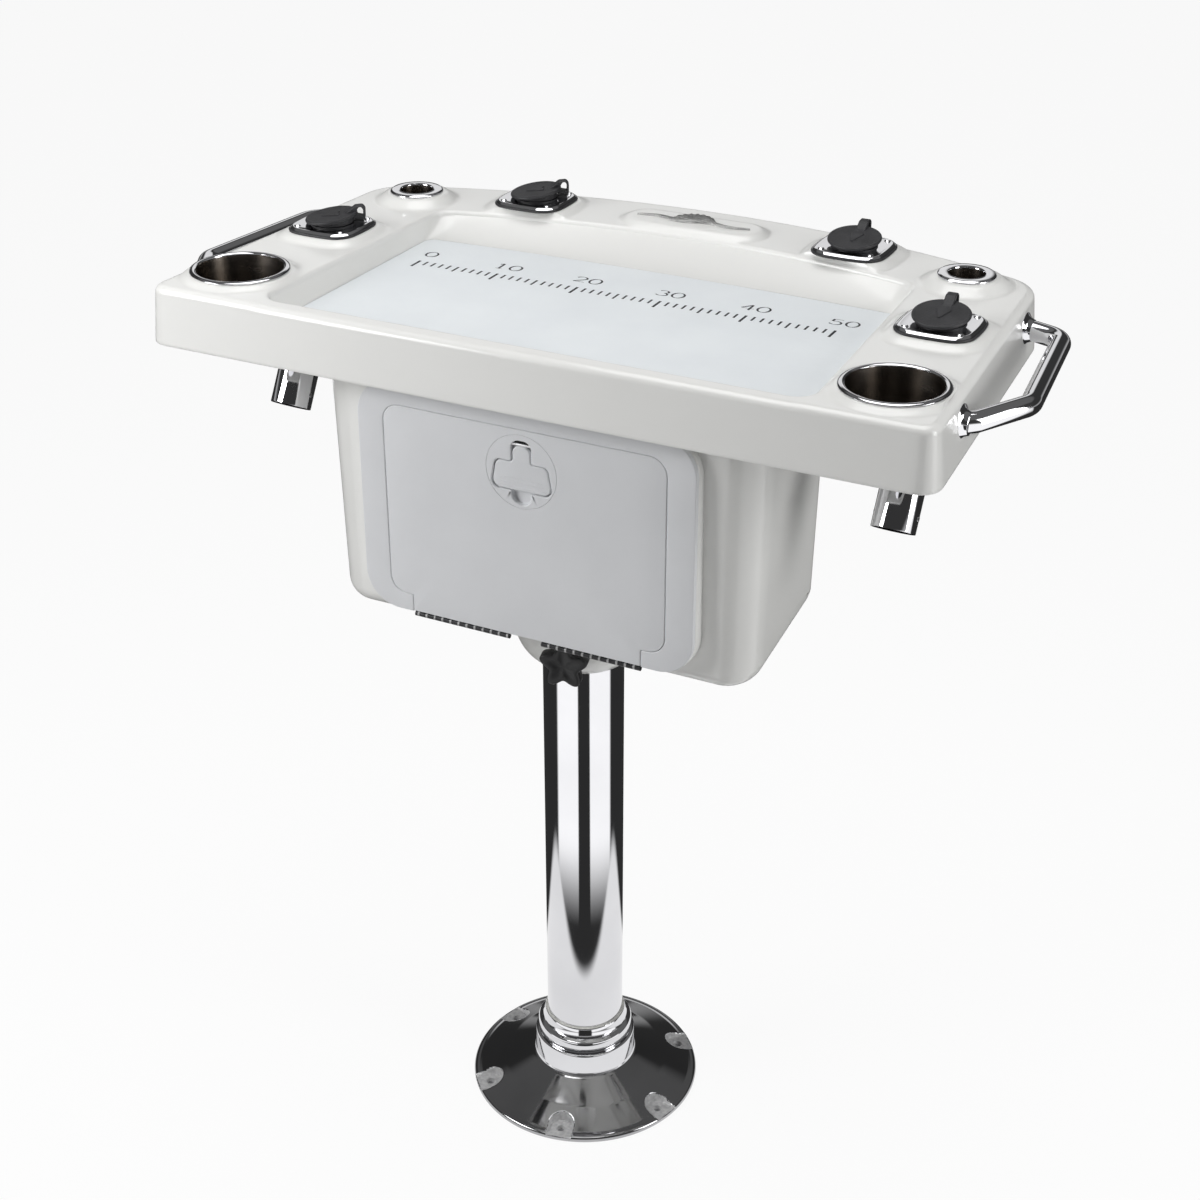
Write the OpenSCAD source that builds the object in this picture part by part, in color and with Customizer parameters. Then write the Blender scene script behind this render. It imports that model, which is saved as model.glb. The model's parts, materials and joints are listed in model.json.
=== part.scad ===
// Boat tackle station: a moulded bait table on a polished pedestal.
// The origin is the centre of the base on the deck, +Z up, and the user stands at -Y.

/* [Pedestal] */
// Outside diameter of the pedestal tube
tube_d = 93; // [80:1:100]
// Wall of the pedestal tube
tube_wall = 3; // [2:0.5:5]
// Top of the tube below the deck
tube_down = 283; // [275:1:325]
// Height of the tube's lower end above the floor
tube_foot = 12; // [6:1:20]
// Diameter of the cast base
base_d = 282; // [260:1:320]
// Height of the rim of the base
base_rim_h = 7; // [5:0.5:12]
// Height of the base where the cone meets the collar
base_cone_h = 37; // [28:1:44]
// Circle on which the base bolts stand
bolt_circle_d = 248; // [230:1:252]
// Number of base bolts
bolt_count = 6; // [4:1:8]
// Diameter of each base bolt hole
bolt_hole_d = 9; // [6:0.5:11]
// Wall of the nylon bushes round the tube
bush_wall = 2.5; // [2:0.5:4]
// Running clearance between the tube and the upper bush, on the radius
swivel_clear = 0.05; // [0.02:0.01:0.1]

/* [Table] */
// Height of the deck above the floor
deck_z = 1025; // [900:1:1100]
// Height of the skirt from its lower edge to the deck
skirt_h = 64; // [50:1:80]
// Thickness of the moulded skin
skin = 6; // [4:0.5:8]
// Outward lean of the skirt from the deck to its lower edge
skirt_draft = 6; // [3:0.5:9]
// Half the width of the deck along its front edge
half_front = 437; // [400:1:460]
// Half the width of the deck at its rear corners
half_rear = 411; // [390:1:430]
// Distance of the front edge before the pedestal axis
front_y = 159; // [145:1:175]
// Distance of the rear edge behind the pedestal axis, on the centre line
rear_y = 351; // [330:1:370]
// Radius of the bowed rear edge
rear_bow = 1060; // [900:10:1400]
// Corner radius at the front
front_corner_r = 16; // [8:1:24]
// Corner radius at the rear
rear_corner_r = 55; // [40:1:70]
// Radius of the rounded deck edge
edge_r = 9; // [5:1:12]

/* [Work well] */
// Thickness of the cutting board
board_t = 10; // [8:1:14]
// Drop from the deck to the top of the board
well_depth = 23; // [18:1:30]
// Half the width of the board
board_half = 290; // [270:1:300]
// Front edge of the board before the pedestal axis
board_front = 130; // [115:1:136]
// Rear edge of the board behind the pedestal axis
board_rear = 181; // [160:1:190]
// Half the width of the well at deck level, front end
well_half_front = 307; // [300:1:315]
// Half the width of the well at deck level, rear end
well_half_rear = 292; // [288:1:300]
// Rear edge of the well behind the pedestal axis
well_rear = 249; // [235:1:255]
// Drop of the front lip below the deck
lip_drop = 1; // [0.5:0.5:4]
// Clearance round the board
board_gap = 1; // [0.5:0.5:2]

/* [Holders] */
// Drink holders: distance from the centre line
drink_x = 371; // [365:1:375]
// Drink holders: distance before the pedestal axis
drink_y = 84; // [80:1:88]
// Drink holders: outside diameter of the rim
drink_d = 108.5; // [104:0.5:112]
// Drink holders: inside diameter of the mouth
drink_mouth_d = 94; // [88:1:96]
// Drink holders: depth of the cup
drink_depth = 78; // [60:1:90]
// Tool holders: distance from the centre line
tool_x = 340; // [335:1:345]
// Tool holders: distance behind the pedestal axis
tool_y = 233; // [228:1:238]
// Tool holders: outside diameter of the rim
tool_d = 63; // [59:0.5:66]
// Tool holders: inside diameter of the mouth
tool_mouth_d = 39; // [35:1:42]
// Tool holders: depth of the cup
tool_depth = 66; // [50:1:80]
// Outer rod holders: distance from the centre line
rod_outer_x = 361; // [356:1:364]
// Outer rod holders: distance behind the pedestal axis
rod_outer_y = 82; // [80:1:88]
// Inner rod holders: distance from the centre line
rod_inner_x = 199; // [190:1:205]
// Inner rod holders: distance behind the pedestal axis
rod_inner_y = 272; // [270:1:280]
// Lean of the rod tubes
rod_lean = 30; // [20:1:32]
// Outside diameter of the rod tube
rod_d = 46; // [44:0.5:50]
// Wall of the rod tube
rod_wall = 1.5; // [1:0.5:2.5]
// Length of the rod tube along its axis
rod_len = 214; // [200:1:240]
// Side of the square rod holder plate
plate_side = 80; // [78:1:88]
// Corner radius of the rod holder plate
plate_round = 22; // [16:1:26]
// Thickness of the rod holder plate
plate_t = 2.5; // [2:0.5:4]
// Thickness of the gasket below the plate
gasket_t = 2.5; // [1.5:0.5:4]
// Diameter of the rubber cap
cap_d = 60; // [56:1:64]

/* [Handles] */
// Diameter of the handle tube
handle_d = 22; // [19:1:25]
// Centre line of the grips below the deck
handle_down = 27; // [26:1:40]
// Diameter of the flared foot
foot_d = 36; // [32:1:40]
// Front foot behind the pedestal axis (negative is before it)
foot_front_y = -68; // [-75:1:-40]
// Rear foot behind the pedestal axis
foot_rear_y = 199; // [190:1:210]
// Distance of the grip from the centre line, front bend
grip_front_x = 479; // [470:1:490]
// Distance of the grip from the centre line, rear bend
grip_rear_x = 460; // [452:1:472]
// Bend radius of the handle on its centre line
handle_bend_r = 26; // [20:1:32]

/* [Tackle box] */
// Half the width of the box at the top
box_half = 256; // [240:1:270]
// Front face of the box before the pedestal axis
box_front = 123.5; // [118:0.5:128]
// Rear face of the box behind the pedestal axis
box_rear = 90; // [80:1:110]
// Bottom of the box at its front, below the deck
box_bottom_down = 357; // [345:1:375]
// Rise of the sloping bottom for each millimetre rearward
box_slope = 0.17; // [0.05:0.01:0.25]
// Wall of the box
box_wall = 5; // [4:0.5:7]
// Upright corner radius of the box
box_corner_r = 45; // [30:1:50]
// Narrowing of each side from top to bottom
box_draft = 6; // [2:0.5:9]
// Radius of the round boss under the box
boss_r = 79; // [74:1:84]
// Lower end of the round boss below the deck
boss_down = 416; // [409:1:425]

/* [Hatch] */
// Half the width of the hatch frame
frame_half = 195; // [188:1:198]
// Lower edge of the hatch frame below the deck
frame_low_down = 332; // [329:1:335]
// Upper edge of the hatch frame below the deck
frame_high_down = 68; // [65:1:73]
// Thickness of the frame and the door skin
frame_t = 6; // [5:0.5:8]
// Thickness of the moulded land behind the frame
land_t = 8.5; // [6:0.5:12]
// Half the width of the door
door_half = 163; // [155:1:170]
// Lower edge of the door, beside its tongue, below the deck
door_low_down = 311; // [305:1:317]
// Upper edge of the door below the deck
door_high_down = 92; // [87:1:97]
// Half the width of the hinge tongue of the door
tongue_half = 136; // [130:1:142]
// Gap round the door
door_gap = 1; // [0.6:0.1:1.6]
// Radius of the hinge knuckles
knuckle_r = 2.8; // [2.4:0.1:3.2]
// Number of knuckles on each hinge
knuckle_count = 10; // [6:2:14]
// Centre of the latch below the deck
latch_down = 138; // [137:1:143]
// Radius of the latch disc
latch_r = 41; // [40:1:42]

/* [Clamp] */
// Axis of the clamp screw below the deck
clamp_down = 383; // [382:1:387]
// Turn of the clamp screw from straight ahead towards the right
clamp_turn = 14; // [0:1:30]
// Radius of the knob over its lobes
knob_r = 28; // [22:1:29]
// Thickness of the knob
knob_t = 16; // [14:1:20]
// Diameter of the clamp screw
clamp_d = 8; // [6:1:10]

/* [Hidden] */

// Small distance by which a cutter passes the face that it opens
cut = 1;
// Clearance between soft pieces and what they rest on
soft_gap = 0.3;
white = [0.9, 0.9, 0.88];
shade = [0.78, 0.8, 0.81];
steel = [0.8, 0.8, 0.82];
black = [0.08, 0.08, 0.09];
nylon = [0.85, 0.85, 0.8];
$fn = 72;

skirt_z = deck_z - skirt_h;
tube_top = deck_z - tube_down;
handle_z = deck_z - handle_down;
box_bottom_z = deck_z - box_bottom_down;
boss_z = deck_z - boss_down;
frame_low = deck_z - frame_low_down;
frame_high = deck_z - frame_high_down;
door_low = deck_z - door_low_down;
door_high = deck_z - door_high_down;
latch_z = deck_z - latch_down;
clamp_z = deck_z - clamp_down;
tube_r = tube_d / 2;
bush_r = tube_r + bush_wall;
board_top = deck_z - well_depth;
well_floor = board_top - board_t;
under_well = well_floor - skin;
frame_y = -box_front - land_t - frame_t;
land_y = -box_front - land_t;

// Points of a rounded corner at p between the neighbours a and b, r the radius, n the steps
function unit(v) = v / norm(v);
function corner(a, p, b, r, n) =
    let (u = unit(a - p), w = unit(b - p),
        half = acos(u * w) / 2,
        mid = p + unit(u + w) * r / sin(half),
        from = p + u * r / tan(half),
        to = p + w * r / tan(half),
        a0 = atan2(from[1] - mid[1], from[0] - mid[0]),
        a1 = atan2(to[1] - mid[1], to[0] - mid[0]),
        turn = (a1 - a0 + 540) % 360 - 180)
    [for (i = [0:n]) mid + r * [cos(a0 + turn * i / n), sin(a0 + turn * i / n)]];

// Depth of a bowed rear edge at distance x from the centre line
function bow(apex, radius, x) = apex - radius + sqrt(radius * radius - x * x);

// Plan outline with a straight front, tapering sides and a bowed rear edge, grown by o
function plan(hf, hr, fy, ry, radius, rf, rr, o = 0) =
    let (lean = (hf - hr) / (fy + bow(ry, radius, hr)),
        f = -fy - o,
        xf = hf + o + lean * o,
        xr = hr + o,
        far = bow(ry + o, radius + o, xr),
        in_x = xr - rr * 1.4,
        in_y = bow(ry + o, radius + o, in_x),
        steps = 18)
    concat(
        corner([0, f], [xf, f], [xr, far], rf + o, 6),
        corner([xf, f], [xr, far], [in_x, in_y], rr + o, 8),
        [for (i = [0:steps]) let (x = in_x - rr * 0.2 - (2 * in_x - rr * 0.4) * i / steps)
            [x, bow(ry + o, radius + o, x)]],
        corner([-in_x, in_y], [-xr, far], [-xf, f], rr + o, 8),
        corner([-xr, far], [-xf, f], [0, f], rf + o, 6));

function deck_plan(o) = plan(half_front, half_rear, front_y, rear_y, rear_bow,
    front_corner_r, rear_corner_r, o);
function well_top_plan(o) = plan(well_half_front, well_half_rear, board_front + 5, well_rear, rear_bow,
    16, 22, o);
function board_plan(o) = plan(board_half, board_half - 2, board_front, board_rear, 4200, 8, 12, o);

// Solid between rings of points that have the same count, lowest ring first
module loft(rings) {
    n = len(rings[0]);
    m = len(rings);
    polyhedron(
        points = [for (ring = rings) each ring],
        faces = concat(
            [[for (i = [0:n - 1]) i]],
            [for (k = [0:m - 2], i = [0:n - 1]) let (j = (i + 1) % n)
                [k * n + i, (k + 1) * n + i, (k + 1) * n + j]],
            [for (k = [0:m - 2], i = [0:n - 1]) let (j = (i + 1) % n)
                [k * n + i, (k + 1) * n + j, k * n + j]],
            [[for (i = [n - 1:-1:0]) (m - 1) * n + i]]));
}

function lift(points, z) = [for (p = points) [p[0], p[1], z]];

// Rounded rectangle in the XZ plane, from y0 to y1
module slab(half, low, high, r, y0, y1) {
    translate([0, y1, 0])
        rotate([90, 0, 0])
            linear_extrude(y1 - y0)
                polygon(concat(
                    corner([0, low], [half, low], [half, high], r, 8),
                    corner([half, low], [half, high], [0, high], r, 8),
                    corner([half, high], [-half, high], [-half, low], r, 8),
                    corner([-half, high], [-half, low], [0, low], r, 8)));
}

// Rounded square plate with gently bulging sides
module shield(side, r, t) {
    h = side / 2;
    bulge = 1.5;
    sides = [[1, 0], [0, 1], [-1, 0], [0, -1]];
    linear_extrude(t)
        polygon([for (k = [0:3]) let (d = sides[k], e = [-d[1], d[0]])
            each concat(
                [for (s = [-0.5, 0, 0.5]) d * (h + bulge * (1 - 4 * s * s * 0.5)) + e * s * (side - 2 * r)],
                [for (q = [0:6]) d * (h - r) + e * (h - r)
                    + r * (d * cos(q * 15) + e * sin(q * 15))])]);
}

// Base

module base_flange() {
    collar_r = 61.5;
    collar_top = 100;
    lip = 4;
    color(steel)
        difference() {
            rotate_extrude($fn = 120)
                polygon([[bush_r, 0], [base_d / 2 - 3, 0], [base_d / 2, 3], [base_d / 2, base_rim_h - 2],
                    [base_d / 2 - 2, base_rim_h], [base_d / 2 - 8, base_rim_h + 0.5],
                    [collar_r + 2, base_cone_h], [collar_r, base_cone_h],
                    [collar_r, base_cone_h + 28], [collar_r - 2, base_cone_h + 30],
                    [collar_r - 5, base_cone_h + 30], [collar_r - 5, base_cone_h + 43],
                    [collar_r - 8, base_cone_h + 45], [bush_r + lip, collar_top - 9],
                    [bush_r + 1.2, collar_top], [bush_r, collar_top]]);
            // The casting is hollow below
            translate([0, 0, -cut])
                rotate_extrude($fn = 120)
                    polygon([[bush_r + 6, 0], [base_d / 2 - 30, 0], [bush_r + 14, base_cone_h - 12],
                        [bush_r + 6, base_cone_h - 12]]);
            for (k = [0:bolt_count - 1])
                rotate([0, 0, -17 + k * 360 / bolt_count])
                    translate([bolt_circle_d / 2, 0, 0]) {
                        translate([0, 0, -cut])
                            cylinder(d = bolt_hole_d, h = base_cone_h, $fn = 32);
                        translate([0, 0, base_rim_h - 1])
                            cylinder(d = 21, h = base_cone_h, $fn = 32);
                        translate([0, -10.5, base_rim_h - 1])
                            cube([20, 21, base_cone_h]);
                    }
        }
}

module base_bush() {
    foot = 10;
    color(nylon)
        difference() {
            cylinder(r = bush_r, h = 100);
            translate([0, 0, tube_foot])
                cylinder(r = tube_r, h = 100);
            translate([0, 0, -cut])
                cylinder(r = tube_r - foot, h = 100);
        }
}

module pedestal_tube() {
    color(steel)
        translate([0, 0, tube_foot])
            difference() {
                cylinder(r = tube_r, h = tube_top - tube_foot, $fn = 96);
                translate([0, 0, -cut])
                    cylinder(r = tube_r - tube_wall, h = tube_top - tube_foot + 2 * cut, $fn = 96);
            }
}

// Head that turns on the tube

socket_wall = 3;
socket_r = bush_r + swivel_clear + socket_wall;
bush_in = tube_r + swivel_clear;
bush_out = bush_r + swivel_clear;
cap_plate = 4;
socket_top = tube_top + soft_gap + cap_plate;

module clamp_axis(from) {
    translate([0, 0, clamp_z])
        rotate([90, 0, clamp_turn])
            translate([0, 0, from])
                children();
}

module table_socket() {
    color(steel)
        difference() {
            translate([0, 0, boss_z])
                cylinder(r = socket_r, h = socket_top - boss_z);
            translate([0, 0, boss_z - cut])
                cylinder(r = bush_out, h = socket_top - cap_plate - boss_z + cut);
            clamp_axis(tube_r - 5)
                cylinder(r = insert_r, h = 40);
        }
}

module socket_bush() {
    color(nylon)
        difference() {
            translate([0, 0, boss_z])
                cylinder(r = bush_out, h = socket_top - cap_plate - boss_z);
            translate([0, 0, boss_z - cut])
                cylinder(r = bush_in, h = socket_top - boss_z);
            clamp_axis(tube_r - 5)
                cylinder(d = clamp_d + 1, h = 40);
        }
}

insert_r = 7;
insert_from = bush_out + 0.5;
pad_end = boss_r + 1;

module clamp_insert() {
    color([0.75, 0.6, 0.3])
        difference() {
            clamp_axis(insert_from)
                cylinder(r = insert_r, h = pad_end - insert_from);
            clamp_axis(insert_from - cut)
                cylinder(d = clamp_d + 0.1, h = boss_r);
        }
}

knob_from = pad_end + 3.5;
knob_neck = 2.5;
screw_grip = 12;

module clamp_screw() {
    color(steel)
        clamp_axis(tube_r + soft_gap)
            cylinder(d = clamp_d, h = knob_from + screw_grip - tube_r - soft_gap, $fn = 32);
}

module clamp_knob() {
    mean_r = knob_r - 5;
    wave = 5;
    lobes = 5;
    chamfer = 2;
    color(black)
        difference() {
            union() {
                clamp_axis(knob_from - knob_neck)
                    cylinder(r = 9, h = knob_neck + 1);
                clamp_axis(knob_from)
                    intersection() {
                        linear_extrude(knob_t)
                            polygon([for (a = [0:5:355]) (mean_r + wave * cos(lobes * a)) * [sin(a), cos(a)]]);
                        rotate_extrude()
                            polygon([[0, 0], [knob_r - chamfer, 0], [knob_r + 1, chamfer],
                                [knob_r + 1, knob_t - chamfer - 1], [knob_r - chamfer - 2, knob_t], [0, knob_t]]);
                    }
            }
            clamp_axis(knob_from - knob_neck - cut)
                cylinder(d = clamp_d, h = screw_grip + knob_neck + cut, $fn = 32);
        }
}

// Table moulding

drink_pad_h = 4.5;
tool_pad_h = 10;
plate_pad_h = 6;
long_boss_h = 6;
rim_t = 3;
rod_places = [[-rod_outer_x, rod_outer_y], [-rod_inner_x, rod_inner_y],
    [rod_inner_x, rod_inner_y], [rod_outer_x, rod_outer_y]];
plate_seat = deck_z + plate_pad_h;
plate_low = plate_seat + gasket_t;
plate_top = plate_low + plate_t;
rod_hole_r = rod_d / 2 + 1;

// Local frame of a rod tube: its axis is +Z and its origin lies on the top of the plate
module rod_frame(place) {
    translate([place[0], place[1], plate_top])
        rotate([-rod_lean, 0, 0])
            children();
}

module table_outside() {
    steps = 5;
    loft(concat(
        [lift(deck_plan(skirt_draft), skirt_z)],
        [for (k = [0:steps]) let (a = 90 * k / steps)
            lift(deck_plan((1 - cos(a)) * -edge_r + skirt_draft * edge_r / skirt_h * cos(a)),
                deck_z - edge_r + edge_r * sin(a))]));
}

module well_cut(o, floor_z) {
    loft([lift(board_plan(board_gap + o), floor_z),
        lift(board_plan(board_gap + o), board_top),
        lift(well_top_plan(o), deck_z + cut)]);
}

module table_top() {
    color(white)
        difference() {
            union() {
                table_outside();
                for (s = [-1, 1]) {
                    translate([s * drink_x, -drink_y, deck_z - cut])
                        cylinder(r1 = drink_d / 2 + 10, r2 = drink_d / 2 + 3, h = drink_pad_h + cut);
                    translate([s * tool_x, tool_y, deck_z - cut])
                        cylinder(r1 = tool_d / 2 + 14, r2 = tool_d / 2 + 4, h = tool_pad_h + cut);
                }
                for (p = rod_places)
                    translate([p[0], p[1], deck_z - cut])
                        shield(plate_side + 10, plate_round + 6, plate_pad_h + cut);
                oval_boss(deck_z - cut, long_boss_h + cut);
            }
            well_cut(0, well_floor);
            // The front lip is a little lower than the deck, so the well drains over it
            translate([0, -board_front + 10, deck_z])
                rotate([90, 0, 0])
                    linear_extrude(front_y)
                        polygon([[-well_half_front - 6, cut], [-well_half_front + 24, -lip_drop],
                            [well_half_front - 24, -lip_drop], [well_half_front + 6, cut]]);
            difference() {
                loft([lift(deck_plan(skirt_draft - skin), skirt_z - cut),
                    lift(deck_plan(-skin - 1), deck_z - skin)]);
                well_cut(skin, under_well);
                translate([0, -board_front, under_well])
                    linear_extrude(well_depth + board_t)
                        polygon([[-well_half_front, -front_y], [well_half_front, -front_y],
                            [well_half_front, 8], [-well_half_front, 8]]);
            }
            for (s = [-1, 1]) {
                translate([s * drink_x, -drink_y, skirt_z])
                    cylinder(r = drink_mouth_d / 2 + 1.5, h = skirt_h + 20);
                translate([s * tool_x, tool_y, skirt_z])
                    cylinder(r = tool_mouth_d / 2 + 2.5, h = skirt_h + 20);
                for (y = [foot_front_y, foot_rear_y])
                    translate([s * seat_x(y), y, handle_z])
                        rotate([0, s * 90, 0]) {
                            cylinder(d = foot_d + 1, h = 10);
                            translate([0, 0, -20])
                                cylinder(d = stud_d + 1, h = 30);
                        }
            }
            for (p = rod_places)
                rod_frame(p)
                    translate([0, 0, -70])
                        cylinder(r = rod_hole_r, h = 140);
        }
}

// Long rounded boss behind the well
module oval_boss(z, h) {
    half = 58;
    r = 31;
    translate([0, boss_y, z]) {
        translate([-half, -r, 0])
            cube([2 * half, 2 * r, h]);
        for (s = [-1, 1])
            translate([s * half, 0, 0])
                cylinder(r = r, h = h);
    }
}

boss_y = 284;

module cutting_board() {
    color([0.87, 0.9, 0.92])
        translate([0, 0, well_floor])
            linear_extrude(board_t)
                polygon(board_plan(0));
}

stud_d = 8;
// Depth at which the sides of the deck reach their rear width
side_end = 280;
// Depth of the flat seat below the drafted side
seat_sink = 2;

// Distance of the flat seat of a handle foot from the centre line, at distance y behind the axis
function seat_x(y) = half_front - (half_front - half_rear) * (y + front_y) / (front_y + side_end)
    + skirt_draft * (deck_z - handle_z) / skirt_h - seat_sink;

// Tackle box

box_flange_t = 4;
box_top = under_well;

// Outline of the box grown by o
function box_plan(o) =
    let (h = box_half + o, f = -box_front - o, b = box_rear + o, r = box_corner_r + o)
    concat(corner([0, f], [h, f], [h, b], r, 8), corner([h, f], [h, b], [0, b], r, 8),
        corner([h, b], [-h, b], [-h, f], r, 8), corner([-h, b], [-h, f], [0, f], r, 8));

function on_slope(points, z) = [for (p = points) [p[0], p[1], z + box_slope * (p[1] + box_front)]];

module box_shape(o, bottom, top) {
    round_r = 25 + o;
    steps = 5;
    loft(concat(
        [for (k = [0:steps]) let (a = 90 * k / steps)
            on_slope(box_plan(o - box_draft - round_r * (1 - sin(a))), bottom + round_r * (1 - cos(a)))],
        [lift(box_plan(o), top)]));
}

module storage_box() {
    color(white)
        difference() {
            union() {
                box_shape(0, box_bottom_z, box_top);
                translate([0, 0, box_top - box_flange_t])
                    linear_extrude(box_flange_t)
                        polygon(box_plan(14));
                slab(frame_half + 1, frame_low - 1, frame_high + 1, 41, land_y, -box_front + box_wall);
                rotate_extrude()
                    polygon(concat([[0, boss_z]],
                        [for (a = [12:13:90]) [boss_flat_r + (boss_r - boss_flat_r) * sin(a),
                            boss_z + boss_h * (1 - cos(a))]],
                        [[boss_r, boss_z + boss_h], [boss_r, boss_top], [0, boss_top]]));
                clamp_axis(boss_r - 25)
                    cylinder(r = 13, h = pad_end - boss_r + 25);
            }
            difference() {
                box_shape(-box_wall, box_bottom_z + box_wall, box_top + cut);
                cylinder(r = socket_r + 9, h = boss_floor_z);
            }
            cylinder(r = socket_r, h = boss_floor_z + cut);
            clamp_axis(socket_r - 5)
                cylinder(r = insert_r, h = 40);
            slab(port_half, port_low, port_high, 16, land_y - cut, -box_front + box_wall + 20);
        }
}

boss_floor_z = boss_z + 107;
boss_flat_r = 45;
boss_h = 51;
boss_top = boss_z + 101;
port_half = door_half - 4;
port_low = door_low + 6;
port_high = door_high - 2;
sleeve_t = 2.5;

screw_edge = 8.5;
box_screw_places = [for (s = [-1, 1]) each [[s * (box_half - 24), -box_front - screw_edge],
    [s * box_half / 2, -box_front - screw_edge], [s * (box_half + screw_edge), (box_rear - box_front) / 2],
    [s * (box_half - 24), box_rear + screw_edge], [s * box_half / 3, box_rear + screw_edge]]];

module box_screws() {
    color(steel)
        for (p = box_screw_places)
            translate([p[0], p[1], box_top - box_flange_t]) {
                mirror([0, 0, 1])
                    cylinder(r = 4.2, h = 2.6, $fn = 24);
            }
}

// Cups

cup_wall = 1.2;
// Steps of a cup: rounding of its floor, and its mouth over its bore
cup_round = 4;
mouth_step = 0.5;

module cup(mouth_d, rim_d, depth, seat_z, drain) {
    r = mouth_d / 2;
    bore = r - mouth_step;
    rim = rim_d / 2;
    color(steel)
        translate([0, 0, seat_z])
            rotate_extrude($fn = 96)
                polygon([[drain, cup_wall - depth], [drain, -depth], [bore - 3, -depth],
                    [bore + cup_wall, -depth + cup_round], [bore + cup_wall, 0], [rim - 0.6, 0],
                    [rim, 0.8], [rim - 0.8, 1.9], [rim - 3, rim_t], [r + 2.5, rim_t],
                    [r + 0.8, rim_t - 0.7], [r, rim_t - 1.5], [bore, rim_t - 2.5],
                    [bore, -depth + cup_round], [bore - 3, cup_wall - depth]]);
}

module drink_holder(s) {
    translate([s * drink_x, -drink_y, 0])
        cup(drink_mouth_d, drink_d, drink_depth, deck_z + drink_pad_h, 4);
}
module drink_holder_left() { drink_holder(-1); }
module drink_holder_right() { drink_holder(1); }

module tool_holder(s) {
    translate([s * tool_x, tool_y, 0])
        cup(tool_mouth_d, tool_d, tool_depth, deck_z + tool_pad_h, 5);
}
module tool_holder_left() { tool_holder(-1); }
module tool_holder_right() { tool_holder(1); }

// Rod holders

plate_screw_at = plate_side / 2 - 11.5;

module rod_gasket(p) {
    color(black)
        difference() {
            translate([p[0], p[1], plate_seat])
                shield(plate_side + 3, plate_round + 1.5, gasket_t);
            rod_frame(p)
                translate([0, 0, -30])
                    cylinder(r = rod_d / 2, h = 60);
            for (dx = [-1, 1], dy = [-1, 1])
                translate([p[0] + dx * plate_screw_at, p[1] + dy * plate_screw_at, plate_seat - cut])
                    cylinder(r = 1.9, h = gasket_t + 2 * cut, $fn = 24);
        }
}
module rod_gasket_left_outer() { rod_gasket(rod_places[0]); }
module rod_gasket_left_inner() { rod_gasket(rod_places[1]); }
module rod_gasket_right_inner() { rod_gasket(rod_places[2]); }
module rod_gasket_right_outer() { rod_gasket(rod_places[3]); }

gimbal_up = 16;

// Keeps the children below height z
module level_trim(p, z) {
    intersection() {
        children();
        translate([p[0] - rod_len, p[1] - rod_len, z - 2 * rod_len])
            cube([2 * rod_len, 2 * rod_len, 2 * rod_len]);
    }
}

// Length by which a leaning tube or its bore passes the top of the plate before it is trimmed
over = 60;

module rod_holder(p) {
    color(steel)
        difference() {
            union() {
                translate([p[0], p[1], plate_low])
                    shield(plate_side, plate_round, plate_t);
                level_trim(p, plate_top)
                    rod_frame(p)
                        translate([0, 0, -rod_len])
                            cylinder(d = rod_d, h = rod_len + over);
            }
            rod_frame(p)
                translate([0, 0, -rod_len - cut])
                    cylinder(r = rod_d / 2 - rod_wall, h = rod_len + over);
            rod_frame(p)
                translate([-rod_d / 2 - cut, 0, -rod_len + gimbal_up])
                    rotate([0, 90, 0])
                        cylinder(r = 2.5, h = rod_d + 2 * cut, $fn = 24);
            for (dx = [-1, 1], dy = [-1, 1])
                translate([p[0] + dx * plate_screw_at, p[1] + dy * plate_screw_at, plate_low - cut])
                    cylinder(r = 1.9, h = plate_t + 2 * cut, $fn = 24);
        }
}
module rod_holder_left_outer() { rod_holder(rod_places[0]); }
module rod_holder_left_inner() { rod_holder(rod_places[1]); }
module rod_holder_right_inner() { rod_holder(rod_places[2]); }
module rod_holder_right_outer() { rod_holder(rod_places[3]); }

// The left caps are turned so that their straps point inward, the right ones point to the rear
cap_turns = [-60, -60, 0, 0];
liner_wall = 2;
lip_t = 1.2;
lip_r = 26;
ear_t = 3;
ear_w = 13;
liner_r = rod_d / 2 - rod_wall;

module rod_liner(k) {
    p = rod_places[k];
    length = rod_len - 30;
    mouth = 14;
    mouth_wall = 1;
    ear_from = lip_r - 1;
    color(black)
        difference() {
            union() {
                translate([p[0], p[1], plate_top]) {
                    cylinder(r = lip_r, h = lip_t);
                    // Ear that holds the strap of the cap
                    rotate([0, 0, cap_turns[k]])
                        translate([-ear_w / 2, ear_from, 0])
                            cube([ear_w, hinge_back - 0.5 - ear_from, ear_t]);
                }
                level_trim(p, plate_top + cut / 2)
                    rod_frame(p)
                        translate([0, 0, -length])
                            cylinder(r = liner_r, h = length + over);
            }
            rod_frame(p)
                translate([0, 0, -length - cut]) {
                    cylinder(r = liner_r - liner_wall, h = length + over);
                    // Wider mouth that leads the butt of the rod in
                    translate([0, 0, length + cut - mouth])
                        cylinder(r = liner_r - mouth_wall, h = mouth + over);
                }
        }
}
module rod_liner_left_outer() { rod_liner(0); }
module rod_liner_left_inner() { rod_liner(1); }
module rod_liner_right_inner() { rod_liner(2); }
module rod_liner_right_outer() { rod_liner(3); }

cap_tilt = 8.5;
disc_t = 3.8;
plug_r = 24.5;
strap_w = 11;
strap_t = 2.5;
hinge_back = cap_d / 2 + 6.5;
foot_r = 1.8;

// Moves the children into the frame of the leaning cap disc, which pivots on its front edge
module cap_lean() {
    translate([0, -cap_d / 2, lip_t + soft_gap])
        rotate([cap_tilt, 0, 0])
            translate([0, cap_d / 2, 0])
                children();
}

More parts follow.
